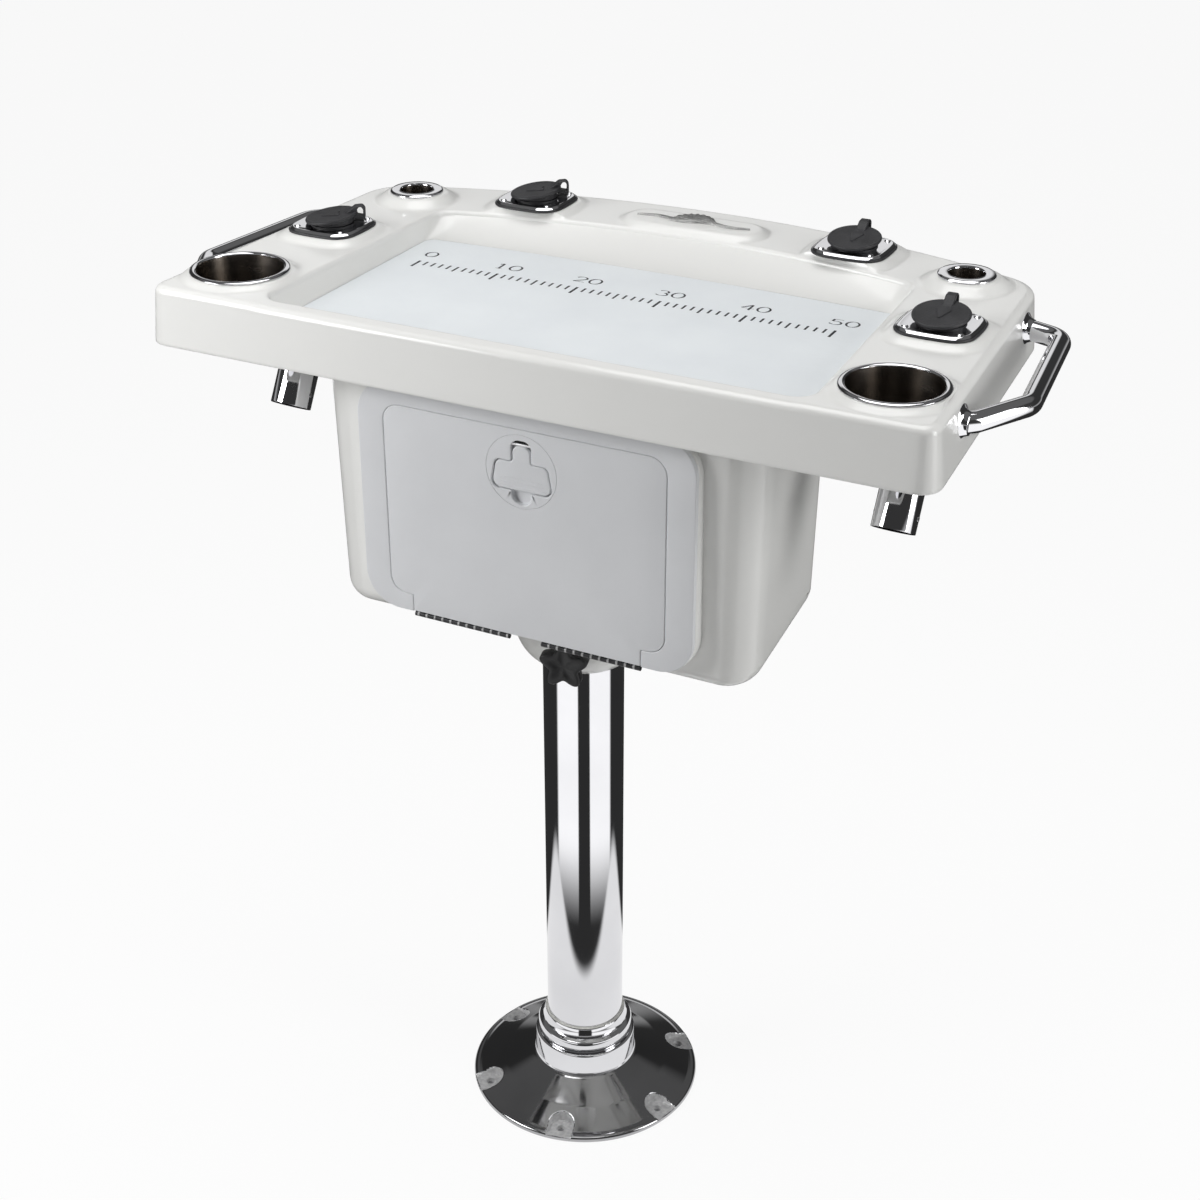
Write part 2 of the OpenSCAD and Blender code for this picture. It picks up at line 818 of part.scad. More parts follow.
// Rubber cap with the looped strap that carries it; its foot rolls on the ear of the liner
module rod_cap(k) {
    edge = cap_d / 2;
    loop_h = 17;
    strap_low = 6;
    color(black)
        translate([rod_places[k][0], rod_places[k][1], plate_top])
            rotate([0, 0, cap_turns[k]]) {
                cap_lean()
                    rotate_extrude()
                        polygon([[0, 0], [edge - 1.2, 0], [edge, 1.2], [edge, disc_t - 1.5],
                            [edge - 1.6, disc_t], [0, disc_t]]);
                // Plug between the leaning disc and the lip of the liner
                intersection() {
                    translate([0, 0, lip_t + soft_gap])
                        cylinder(r = plug_r, h = edge);
                    cap_lean()
                        translate([-edge, -edge, disc_t / 2 - edge])
                            cube([2 * edge, 2 * edge, edge]);
                }
                translate([0, 0, ear_t + soft_gap]) {
                    translate([-strap_w / 2, 0, 0])
                        rotate([90, 0, 90])
                            linear_extrude(strap_w)
                                difference() {
                                    polygon([[8, strap_low], [edge - 10, strap_low + 3], [edge - 1, loop_h],
                                        [edge + 5, loop_h], [hinge_back + foot_r, loop_h - 5],
                                        [hinge_back + foot_r, foot_r], [hinge_back - foot_r, foot_r],
                                        [edge - 3, 1]]);
                                    polygon([[edge + 0.5, strap_low - 1], [edge - 1, strap_low + 3],
                                        [edge + 2, loop_h - strap_t], [edge + 4.5, loop_h - strap_t],
                                        [hinge_back - 0.6, loop_h - 6], [hinge_back - 0.6, strap_low - 1]]);
                                }
                    translate([-strap_w / 2, hinge_back, foot_r])
                        rotate([0, 90, 0])
                            cylinder(r = foot_r, h = strap_w, $fn = 32);
                }
            }
}
module rod_cap_left_outer() { rod_cap(0); }
module rod_cap_left_inner() { rod_cap(1); }
module rod_cap_right_inner() { rod_cap(2); }
module rod_cap_right_outer() { rod_cap(3); }

module gimbal_pins() {
    color(steel)
        for (p = rod_places)
            rod_frame(p)
                translate([-rod_d / 2 - 0.5, 0, -rod_len + gimbal_up])
                    rotate([0, 90, 0])
                        cylinder(r = 2.5, h = rod_d + 1, $fn = 24);
}

module plate_screws() {
    head_h = 1.6;
    color(steel)
        for (p = rod_places, dx = [-1, 1], dy = [-1, 1])
            translate([p[0] + dx * plate_screw_at, p[1] + dy * plate_screw_at, plate_seat]) {
                cylinder(r = 1.9, h = gasket_t + plate_t + cut / 2, $fn = 24);
                translate([0, 0, gasket_t + plate_t])
                    cylinder(r1 = 4, r2 = 2.4, h = head_h, $fn = 24);
            }
}

// Handles

// Step between a straight run and a bend, on the diameter
bend_step = 0.2;
// Length by which a run reaches into the next bend
run_over = 0.5;

module tube_run(a, b) {
    d = b - a;
    translate([a[0], a[1], 0])
        rotate([0, 90, atan2(d[1], d[0])])
            translate([0, 0, -run_over])
                cylinder(d = handle_d, h = norm(d) + 2 * run_over, $fn = 48);
}

// Bend at corner p between runs from a and to b
module tube_bend(a, p, b) {
    u = unit(a - p);
    w = unit(b - p);
    half = acos(u * w) / 2;
    mid = p + unit(u + w) * handle_bend_r / sin(half);
    from = p + u * handle_bend_r / tan(half) - mid;
    to = p + w * handle_bend_r / tan(half) - mid;
    a0 = atan2(from[1], from[0]);
    turn = (atan2(to[1], to[0]) - a0 + 540) % 360 - 180;
    translate([mid[0], mid[1], 0])
        rotate([turn < 0 ? 180 : 0, 0, a0])
            rotate_extrude(angle = abs(turn), $fn = 96)
                translate([handle_bend_r, 0])
                    circle(d = handle_d - bend_step, $fn = 48);
}

function tangent(a, p, b) = let (u = unit(a - p), w = unit(b - p))
    p + u * handle_bend_r / tan(acos(u * w) / 2);

module handle() {
    f1 = [seat_x(foot_front_y), foot_front_y];
    f2 = [seat_x(foot_rear_y), foot_rear_y];
    n1 = f1 + [12, 7];
    n2 = f2 + [12, -1.3];
    v1 = [grip_front_x, 2];
    v2 = [grip_rear_x, 186];
    neck_r = handle_d / 2 + 1.2;
    color(steel)
        translate([0, 0, handle_z]) {
            tube_run(n1, tangent(n1, v1, v2));
            tube_bend(n1, v1, v2);
            tube_run(tangent(v2, v1, n1), tangent(v1, v2, n2));
            tube_bend(v1, v2, n2);
            tube_run(tangent(n2, v2, v1), n2);
            for (f = [f1, f2])
                translate([f[0], f[1], 0]) {
                    rotate([0, 90, 0])
                        rotate_extrude($fn = 48)
                            polygon([[0, 0], [foot_d / 2, 0], [foot_d / 2, 1], [neck_r, 9], [neck_r, 13],
                                [neck_r - 3, 19], [0, 22]]);
                    translate([-stud_len, 0, 0])
                        rotate([0, 90, 0])
                            cylinder(d = stud_d, h = stud_len + cut, $fn = 32);
                }
        }
}
module handle_right() { handle(); }
module handle_left() { mirror([1, 0, 0]) handle(); }

nut_from = skin + 1;
washer_t = 1.2;
nut_t = 4.5;
stud_len = nut_from + washer_t + nut_t + 1;

module handle_nuts() {
    color(steel)
        for (s = [-1, 1], y = [foot_front_y, foot_rear_y])
            translate([s * (seat_x(y) - nut_from), y, handle_z])
                rotate([0, -s * 90, 0])
                    difference() {
                        union() {
                            cylinder(r = 9, h = washer_t, $fn = 32);
                            translate([0, 0, washer_t])
                                cylinder(r = 7.5, h = nut_t, $fn = 6);
                        }
                        translate([0, 0, -cut])
                            cylinder(d = stud_d, h = washer_t + nut_t + 2 * cut, $fn = 32);
                    }
}

// Ornament on the long boss: a ribbed shell between two tapering waves
module badge() {
    shell_rx = 27;
    shell_ry = 28;
    shell_from = -6;
    ribs = 9;
    shell_t = 3;
    crown = 0.62;
    wave_len = 70;
    wave_h = 4;
    wave_t = 2.4;
    steps = 24;
    fan = [for (i = [0:2 * ribs]) let (a = 8 + 164 * i / (2 * ribs), f = i % 2 == 0 ? 0.94 : 1)
        [shell_rx * f * cos(a), shell_ry * f * sin(a)]];
    color(steel)
        translate([0, boss_y + shell_from, deck_z + long_boss_h]) {
            linear_extrude(shell_t)
                polygon(concat(fan, [[-6, -2], [6, -2]]));
            translate([0, 2, shell_t - cut])
                linear_extrude(1.6 + cut)
                    polygon([for (q = fan) q * crown]);
            for (s = [0, 180])
                translate([0, -shell_from / 2, 0])
                    rotate([0, 0, s])
                        linear_extrude(wave_t)
                            polygon(concat(
                                [for (i = [0:steps]) let (t = i / steps)
                                    [wave_len * t, wave_h * sin(400 * t) * (1 - 0.5 * t) + 4 * (1 - t) + 0.7]],
                                [for (i = [steps:-1:0]) let (t = i / steps)
                                    [wave_len * t, wave_h * sin(400 * t) * (1 - 0.5 * t) - 4 * (1 - t) - 0.7]]));
        }
}

// Hatch

hinge_y = frame_y + 3.3;
hinge_z = frame_low - knuckle_r - 0.4;

shelf_t = 1.5;
shelf_y = land_y - shelf_t;
sleeve_end = -box_front + box_wall;

module hatch_frame() {
    color(shade)
        difference() {
            union() {
                slab(frame_half, frame_low, frame_high, 40, frame_y, land_y);
                slab(port_half, port_low, port_high, 16, shelf_y, sleeve_end);
            }
            slab(door_half + door_gap, door_low - door_gap, door_high + door_gap, 20,
                frame_y - cut, shelf_y);
            slab(tongue_half + door_gap, frame_low - 30, door_low + 25, 2, frame_y - cut, shelf_y);
            slab(tongue_half + door_gap, frame_low - 30, door_low - door_gap, 2, frame_y - cut, land_y + cut);
            slab(port_half - sleeve_t, port_low + sleeve_t, port_high - sleeve_t, 13.5,
                frame_y - cut, sleeve_end + cut);
        }
}

module hatch_seal() {
    color(black)
        difference() {
            slab(door_half - 0.5, port_low - 1, door_high - 0.5, 18, shelf_y - seal_t, shelf_y);
            slab(port_half - sleeve_t, port_low + sleeve_t, port_high - sleeve_t, 13.5,
                shelf_y - seal_t - cut, shelf_y + cut);
        }
}
seal_t = 1.2;

// Inner face of the drafted front wall at height z
function wall_in(z) = -box_front + box_wall + box_draft * (box_top - z) / (box_top - box_bottom_z - 25);

screw_in = 50;
screw_places = [for (s = [-1, 1], z = [frame_low + screw_in, (frame_low + frame_high) / 2, frame_high - screw_in])
    [s * (frame_half + door_half) / 2, z]];

module hatch_screws() {
    color(steel)
        for (p = screw_places)
            translate([p[0], wall_in(p[1]) + 0.1, p[1]])
                rotate([-90, 0, 0])
                    cylinder(r = 4, h = 2.5, $fn = 24);
}

door_t = 3;
tray_t = 7;
tray_gap = 2;
tongue_low = frame_low + 1;

module hatch_door() {
    tray_in = sleeve_t + tray_gap;
    color(shade)
        difference() {
            union() {
                slab(door_half, door_low, door_high, 19, frame_y, frame_y + door_t);
                slab(tongue_half, tongue_low, door_low + 25, 2, frame_y, frame_y + door_t - leaf_t);
                slab(port_half - tray_in, port_low + tray_in, port_high - tray_in + 0.5, 11,
                    frame_y, frame_y + door_t + tray_t);
            }
            latch_axis(-cut)
                cylinder(r = latch_r, h = door_t + cut);
            latch_axis(0)
                cylinder(r = housing_r + latch_gap, h = door_t + tray_t + cut);
        }
}

module latch_axis(from) {
    translate([0, frame_y + from, latch_z])
        rotate([-90, 0, 0])
            children();
}

leaf_t = 1;
knuckle_gap = 0.4;
hinge_from = 19;
knuckle_pitch = (tongue_half - hinge_from) / knuckle_count;
pin_r = 1.2;
pin_clear = 0.05;

// One leaf of a piano hinge: the knuckles of one parity and the leaf that carries them
module hinge_leaf(s, parity, y0) {
    low = hinge_z + knuckle_r + 0.6;
    color(steel)
        difference() {
            union() {
                for (k = [parity:2:knuckle_count - 1]) {
                    x0 = hinge_from + k * knuckle_pitch + knuckle_gap / 2;
                    w = knuckle_pitch - knuckle_gap;
                    translate([s > 0 ? x0 : -x0 - w, hinge_y, hinge_z])
                        rotate([0, 90, 0])
                            cylinder(r = knuckle_r, h = w, $fn = 24);
                    translate([s > 0 ? x0 : -x0 - w, y0, hinge_z])
                        cube([w, leaf_t, low - hinge_z + cut]);
                }
                translate([s > 0 ? hinge_from : -tongue_half, y0, low])
                    cube([tongue_half - hinge_from, leaf_t, 14]);
            }
            translate([-frame_half, hinge_y, hinge_z])
                rotate([0, 90, 0])
                    cylinder(r = pin_r + pin_clear, h = 2 * frame_half, $fn = 24);
        }
}
frame_leaf_y = land_y - leaf_t;
door_leaf_y = frame_y + door_t - leaf_t;
module hinge_leaf_frame_left() { hinge_leaf(-1, 0, frame_leaf_y); }
module hinge_leaf_frame_right() { hinge_leaf(1, 0, frame_leaf_y); }
module hinge_leaf_door_left() { hinge_leaf(-1, 1, door_leaf_y); }
module hinge_leaf_door_right() { hinge_leaf(1, 1, door_leaf_y); }

module hinge_pins() {
    color(steel)
        for (s = [0, 1])
            translate([s > 0 ? hinge_from : -tongue_half, hinge_y, hinge_z])
                rotate([0, 90, 0])
                    cylinder(r = pin_r, h = tongue_half - hinge_from, $fn = 24);
}

// Latch

latch_gap = 0.3;
housing_r = 38.5;
pull_t = 5;
pull_face = 0.5;
pull_gap = 1;
recess_t = pull_t + pull_gap;
pull_pin_up = 29;
pull_pin_r = 1.5;
pull_pin_y = frame_y + 3;
pull_pin_z = latch_z + pull_pin_up;
pull_half = 35.5;
stem_half = 10.5;
spindle_r = 6;
housing_t = door_t + tray_t + 3;
cam_from = wall_in(port_high) + 0.5 - frame_y;
cam_t = 4;
cam_reach = 51;

// Outline of the pull: a short stem above a wide rounded grip
function pull_outline(o) =
    let (w = pull_half + o, s = stem_half + o, low = -22 - o, high = 9 + o, top = 33 + o)
    concat(
        corner([0, low], [w, low], [w - 6, high], 9, 6),
        corner([w, low], [w - 6, high], [s, high], 6, 6),
        corner([w - 6, high], [s, high], [s, top], 4 - o, 4),
        corner([s, high], [s, top], [0, top], 4, 4),
        corner([0, top], [-s, top], [-s, high], 4, 4),
        corner([-s, top], [-s, high], [-w + 6, high], 4 - o, 4),
        corner([-s, high], [-w + 6, high], [-w, low], 6, 6),
        corner([-w + 6, high], [-w, low], [0, low], 9, 6));

module pull_prism(o, y0, y1) {
    translate([0, y1, latch_z])
        rotate([90, 0, 0])
            linear_extrude(y1 - y0)
                polygon(pull_outline(o));
}

module pull_pin(r, half) {
    translate([-half, pull_pin_y, pull_pin_z])
        rotate([0, 90, 0])
            cylinder(r = r, h = 2 * half, $fn = 24);
}

module latch_disc() {
    pocket_r = 12;
    heel_t = 9;
    heel_h = 11;
    color(shade)
        difference() {
            union() {
                latch_axis(0)
                    cylinder(r = latch_r - latch_gap, h = door_t - latch_gap);
                latch_axis(0)
                    cylinder(r = housing_r, h = housing_t);
                latch_axis(housing_t - cut)
                    cylinder(r = spindle_r, h = cam_from + cam_t + 4 - housing_t + cut);
            }
            pull_prism(pull_gap, frame_y - cut, frame_y + recess_t);
            // Finger pocket below the grip
            latch_axis(-cut)
                translate([0, 25.5, 0])
                    cylinder(r = pocket_r, h = recess_t + 2 + cut);
            // Room above the pin for the heel of the pull
            translate([-stem_half - pull_gap, frame_y - cut, pull_pin_z - 6])
                cube([2 * (stem_half + pull_gap), heel_t + cut, heel_h]);
            pull_pin(pull_pin_r, stem_half + 4);
        }
}

module latch_pull() {
    color(shade)
        difference() {
            pull_prism(0, frame_y + pull_face, frame_y + pull_t);
            pull_pin(pull_pin_r + pin_clear, stem_half + cut);
        }
}

module latch_pull_pin() {
    color(steel)
        pull_pin(pull_pin_r, stem_half + 4);
}

module latch_cam() {
    width = 16;
    color(steel)
        difference() {
            translate([-width / 2, frame_y + cam_from, latch_z - 12])
                cube([width, cam_t, cam_reach + 12]);
            latch_axis(cam_from - cut)
                cylinder(r = spindle_r, h = cam_t + 2 * cut);
        }
}

module latch_nut() {
    color(steel)
        difference() {
            latch_axis(cam_from + cam_t)
                cylinder(r = 10, h = 4, $fn = 6);
            latch_axis(cam_from + cam_t - cut)
                cylinder(r = spindle_r, h = 4 + 2 * cut);
        }
}

base_flange();
base_bush();
pedestal_tube();
table_socket();
socket_bush();
clamp_insert();
clamp_screw();
clamp_knob();
table_top();
cutting_board();
storage_box();
box_screws();
drink_holder_left();
drink_holder_right();
tool_holder_left();
tool_holder_right();
rod_gasket_left_outer();
rod_gasket_left_inner();
rod_gasket_right_inner();
rod_gasket_right_outer();
rod_holder_left_outer();
rod_holder_left_inner();
rod_holder_right_inner();
rod_holder_right_outer();
rod_liner_left_outer();
rod_liner_left_inner();
rod_liner_right_inner();
rod_liner_right_outer();
rod_cap_left_outer();
rod_cap_left_inner();
rod_cap_right_inner();
rod_cap_right_outer();
gimbal_pins();
plate_screws();
handle_left();
handle_right();
handle_nuts();
badge();
hatch_frame();
hatch_seal();
hatch_screws();
hatch_door();
hinge_leaf_frame_left();
hinge_leaf_frame_right();
hinge_leaf_door_left();
hinge_leaf_door_right();
hinge_pins();
latch_disc();
latch_pull();
latch_pull_pin();
latch_cam();
latch_nut();
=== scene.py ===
# %% [markdown]
# # Boat tackle station
# A tackle station stands on a boat's deck: a moulded table with a cutting board, rod holders and cups, a
# tackle box below it, and a polished pedestal. All its pieces exist already as CAD solids, and those come in
# here as the frame. The solids are right in size but plain at their edges, so most of them are covered by
# smoother skins that fit the same space. Another way would be to bevel the CAD meshes, but they are loose
# triangles, and a skin worked out from a formula keeps its highlights clean.

# %% Frame
import json
import math
import bpy
import numpy as np
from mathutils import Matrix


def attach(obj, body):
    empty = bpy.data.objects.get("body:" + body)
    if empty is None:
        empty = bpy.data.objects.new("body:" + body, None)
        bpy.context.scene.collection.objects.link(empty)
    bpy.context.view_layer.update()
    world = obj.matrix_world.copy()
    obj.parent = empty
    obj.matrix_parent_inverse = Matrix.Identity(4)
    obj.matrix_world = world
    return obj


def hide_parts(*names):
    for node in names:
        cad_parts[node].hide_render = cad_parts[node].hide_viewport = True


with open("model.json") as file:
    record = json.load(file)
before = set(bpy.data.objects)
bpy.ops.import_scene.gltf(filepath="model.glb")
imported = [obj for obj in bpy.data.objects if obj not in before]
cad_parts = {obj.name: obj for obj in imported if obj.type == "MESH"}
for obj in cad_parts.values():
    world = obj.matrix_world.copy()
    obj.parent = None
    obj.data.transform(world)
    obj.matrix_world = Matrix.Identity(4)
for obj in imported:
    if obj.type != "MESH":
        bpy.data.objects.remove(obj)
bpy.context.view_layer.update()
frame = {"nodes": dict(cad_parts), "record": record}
NODES = frame["nodes"]

# %% [markdown]
# ## Camera
# A picture taken from one side can be matched by placing the camera where the photographer stood. One could
# turn the camera by eye. Here it was fitted: the ruler's ticks, the round rims, the tube and the base gave
# the place and the lens. It looks 28 degrees down and 26.6 degrees round from the front, and a 61 mm lens on
# a 36 mm back gives the photograph's mild perspective.

# %% Camera
LENS, SENSOR = 60.92, 36.0
STAND = (0.915, -1.7879, 1.7467)
DOWN, ROUND = 0.4907, 0.4637

scene = bpy.context.scene
lens = bpy.data.cameras.new("camera")
lens.sensor_width = SENSOR
lens.lens = LENS
lens.clip_start = 0.05
lens.dof.use_dof = False
camera = bpy.data.objects.new("camera", lens)
camera.location = STAND
camera.rotation_euler = (math.pi / 2 - DOWN, 0.0, ROUND)
scene.collection.objects.link(camera)
scene.camera = camera
scene.view_settings.view_transform = "Standard"
print("camera looks", round(math.degrees(DOWN), 1), "degrees down through", LENS, "mm")

# %% [markdown]
# ## Shader helpers
# A procedural material is a small sum: distances, fractions and soft edges of a place on the object. Nodes
# could be placed and wired one by one, but a helper for each kind of sum makes it one line to read.

# %% Shader helpers
def link(tree, source, target):
    """Joins two sockets."""
    tree.links.new(source, target)


def maths(tree, kind, a, b=None):
    """Math node of the given kind; a and b are sockets or numbers."""
    node = tree.nodes.new("ShaderNodeMath")
    node.operation = kind
    for k, value in enumerate((a, b)):
        if value is None:
            continue
        if isinstance(value, (int, float)):
            node.inputs[k].default_value = value
        else:
            link(tree, value, node.inputs[k])
    return node.outputs[0]


def far_from(tree, a, b):
    """Distance from the origin of a plane: the root of a squared plus b squared."""
    squares = maths(tree, "ADD", maths(tree, "MULTIPLY", a, a), maths(tree, "MULTIPLY", b, b))
    return maths(tree, "SQRT", squares)


def change(tree, source, start, end, low=0.0, high=1.0, kind="SMOOTHSTEP"):
    """Change from low to high while the source goes from start to end, with soft ends unless it is linear."""
    node = tree.nodes.new("ShaderNodeMapRange")
    node.interpolation_type = kind
    link(tree, source, node.inputs["Value"])
    for socket, value in (("From Min", start), ("From Max", end), ("To Min", low), ("To Max", high)):
        node.inputs[socket].default_value = value
    return node.outputs["Result"]


print("helpers for sums, distances and soft edges are ready")

# %% [markdown]
# ## Material helpers
# Real plastic, steel and rubber are never one flat value: colour and polish drift a little over the surface.
# A painted image could hold that drift, but it would need unwrapping and would show its pixels close up. Here
# two near values are mixed by noise instead. The noise is read in object coordinates, so it stays on the
# piece when the piece moves and looks the same from every side.

# %% Material helpers
BUMP_DEPTH = 0.001


def new_material(name):
    """Empty node material with a principled shader: returns the material, its tree and the shader."""
    mat = bpy.data.materials.new(name)
    mat.use_nodes = True
    tree = mat.node_tree
    tree.nodes.clear()
    out = tree.nodes.new("ShaderNodeOutputMaterial")
    shader = tree.nodes.new("ShaderNodeBsdfPrincipled")
    link(tree, shader.outputs["BSDF"], out.inputs["Surface"])
    return mat, tree, shader


def noise(tree, scale, detail=4.0, stretch=(1, 1, 1)):
    """Noise texture in object coordinates, stretched by the three factors."""
    coord = tree.nodes.new("ShaderNodeTexCoord")
    mapping = tree.nodes.new("ShaderNodeMapping")
    mapping.inputs["Scale"].default_value = stretch
    link(tree, coord.outputs["Object"], mapping.inputs["Vector"])
    tex = tree.nodes.new("ShaderNodeTexNoise")
    tex.inputs["Scale"].default_value = scale
    tex.inputs["Detail"].default_value = detail
    link(tree, mapping.outputs["Vector"], tex.inputs["Vector"])
    return tex.outputs["Fac"]


def ramp(tree, source, stops):
    """Colour ramp from a factor through the listed (position, colour) stops."""
    node = tree.nodes.new("ShaderNodeValToRGB")
    stop_list = node.color_ramp.elements
    for stop, (place, colour) in zip(stop_list, (stops[0], stops[-1])):
        stop.position = place
        stop.color = (*colour, 1)
    for place, colour in stops[1:-1]:
        stop = stop_list.new(place)
        stop.color = (*colour, 1)
    link(tree, source, node.inputs["Fac"])
    return node.outputs["Color"]


def bump(tree, shader, source, height):
    """Bump from a factor: the height is a share of the bump depth."""
    node = tree.nodes.new("ShaderNodeBump")
    node.inputs["Strength"].default_value = height
    node.inputs["Distance"].default_value = BUMP_DEPTH
    link(tree, source, node.inputs["Height"])
    link(tree, node.outputs["Normal"], shader.inputs["Normal"])


print("helpers for a material, its noise, its ramp and its bump are ready")

# %% [markdown]
# ## A surface for every finish
# Each finish of the station needs the same few things: two near colours, a roughness that drifts with them, a
# share of metal, a clear coat and a fine grain. They could be set by hand in the shader editor for every
# material. One function takes them as numbers, so the finishes can be compared line by line.

# %% A surface for every finish
def surface(name, low, high, rough, metal=0.0, scale=30.0, grain=0.1, spread=0.04, coat=0.0,
            stretch=(1, 1, 1)):
    """Principled material whose colour and roughness vary with noise between two values. The grain is a bump
    from noise that is eight times as fine."""
    mat, tree, shader = new_material(name)
    drift = noise(tree, scale, stretch=stretch)
    colour = ramp(tree, drift, [(0.3, low), (0.7, high)])
    link(tree, colour, shader.inputs["Base Color"])
    polish = change(tree, drift, 0.0, 1.0, max(rough - spread, 0.01), rough + spread, "LINEAR")
    link(tree, polish, shader.inputs["Roughness"])
    shader.inputs["Metallic"].default_value = metal
    shader.inputs["Coat Weight"].default_value = coat
    shader.inputs["Coat Roughness"].default_value = 0.1
    if grain > 0:
        bump(tree, shader, noise(tree, scale * 8, 2.0, stretch), grain)
    return mat


print("a finish is a colour, a roughness and a grain that drift with noise")

# %% [markdown]
# ## Finishes
# The station has few finishes: glossy gelcoat on the mouldings, a bluish board, grey hatch plastic, mirror
# polished tube and rims, satin pins, black rubber and black nylon. Each is one material that all pieces of
# that finish share, which keeps them alike and easy to change. Metal needs little colour drift and a low
# roughness, plastic the reverse.

# %% Finishes
gelcoat = surface("gelcoat", (0.81, 0.81, 0.79), (0.84, 0.84, 0.82), 0.3,
                  scale=4.0, grain=0.0, spread=0.03, coat=0.5)
board_white = surface("board", (0.79, 0.825, 0.85), (0.83, 0.865, 0.885), 0.55, scale=12.0, grain=0.25)
hatch_grey = surface("hatch_plastic", (0.735, 0.745, 0.765), (0.78, 0.79, 0.81), 0.5, scale=10.0, grain=0.2)
chrome = surface("polished", (0.72, 0.72, 0.74), (0.80, 0.80, 0.82), 0.06,
                 metal=1.0, scale=9.0, grain=0.0, spread=0.025)
# The base's chrome is coloured darker than the other chrome: painted dark reflection on the cone.
dark_painted_base_chrome = surface("base_chrome_painted_dark", (0.40, 0.40, 0.41), (0.50, 0.50, 0.51), 0.07,
                      metal=1.0, scale=9.0, grain=0.0, spread=0.02)
satin = surface("satin", (0.55, 0.55, 0.56), (0.66, 0.66, 0.67), 0.28, metal=1.0, scale=60.0, grain=0.05)
rubber = surface("rubber", (0.018, 0.018, 0.02), (0.035, 0.035, 0.038), 0.55, scale=60.0, grain=0.3)
knob_black = surface("knob_black", (0.006, 0.006, 0.007), (0.012, 0.012, 0.013), 0.5, scale=60.0, grain=0.2)
nylon = surface("nylon", (0.7, 0.7, 0.66), (0.76, 0.76, 0.72), 0.45, scale=30.0, grain=0.1)
brass = surface("insert_brass", (0.6, 0.45, 0.2), (0.68, 0.52, 0.26), 0.3, metal=1.0, scale=30.0, grain=0.05)
FINISH = {"gelcoat": gelcoat, "board": board_white, "hatch_plastic": hatch_grey, "polished": chrome,
          "satin": satin, "rubber_black": rubber, "knob_black": knob_black, "nylon": nylon,
          "insert_brass": brass}
print(len(FINISH), "finishes")

# %% [markdown]
# ## Hinge steel
# A strip hinge is a row of rolled knuckles, each a few millimetres long. They could be modelled one by one,
# but they are too small to be worth it, so the CAD keeps a plain barrel and the steel is banded with painted
# light. The fraction of X over the pitch drives a ramp of near black painted shade and reflection on the
# knuckles and narrow pale bands of painted highlight between them. Away from the hinge axis the bands end,
# because the leaves are flat. Then every CAD node gets the finish that its record names.

# %% Hinge steel
HINGE_Y, HINGE_Z = -0.1347, 0.6898
PITCH = 0.010
KNUCKLE_R = 0.0047


def knuckles():
    """Steel of a strip hinge: banded along X near the hinge axis with painted shade and painted highlights,
    and plain grey farther out.
    """
    mat, tree, shader = new_material("hinge_steel_painted_bands")
    coord = tree.nodes.new("ShaderNodeTexCoord")
    axes = tree.nodes.new("ShaderNodeSeparateXYZ")
    link(tree, coord.outputs["Object"], axes.inputs["Vector"])
    part = maths(tree, "FRACT", maths(tree, "MULTIPLY", axes.outputs["X"], 1 / PITCH))
    # Near black painted shade and reflection on the knuckles, and pale bands of painted highlight between
    # them.
    knuckle_shade, knuckle_highlight = (0.025, 0.025, 0.027), (0.34, 0.34, 0.34)
    painted_knuckle_light = ramp(tree, part, [(0.0, knuckle_shade), (0.7, knuckle_shade), (0.76, knuckle_highlight), (0.93, knuckle_highlight), (1.0, knuckle_shade)])
    out_y = maths(tree, "SUBTRACT", axes.outputs["Y"], HINGE_Y)
    out_z = maths(tree, "SUBTRACT", axes.outputs["Z"], HINGE_Z)
    leaf = change(tree, far_from(tree, out_y, out_z), KNUCKLE_R, KNUCKLE_R + 0.0005, kind="LINEAR")
    both = tree.nodes.new("ShaderNodeMix")
    both.data_type = "RGBA"
    both.inputs["B"].default_value = (0.42, 0.42, 0.43, 1)
    link(tree, leaf, both.inputs["Factor"])
    link(tree, painted_knuckle_light, both.inputs["A"])
    link(tree, both.outputs["Result"], shader.inputs["Base Color"])
    shader.inputs["Metallic"].default_value = 0.5
    shader.inputs["Roughness"].default_value = 0.4
    bump(tree, shader, painted_knuckle_light, 0.4)
    return mat


hinge_steel_painted_bands = knuckles()
SLOTS = {entry["node"]: entry["material_slot"] for entry in frame["record"]["subparts"]}
for node, obj in NODES.items():
    obj.data.materials.clear()
    obj.data.materials.append(hinge_steel_painted_bands if node.startswith("hinge_") else FINISH[SLOTS[node]])
print(len(SLOTS), "nodes have a finish")

# %% [markdown]
# ## Mesh builders
# Moulded and turned pieces can be cut from solids with booleans, or modelled by hand and subdivided. Both
# leave uneven faces where a highlight breaks. Here each piece is a stack of rings: every ring is a closed
# loop with the same number of points, and neighbouring rings are joined by four-sided faces. The whole stack
# is one array, so its faces come from index arithmetic.

# %% Mesh builders
MM = 0.001


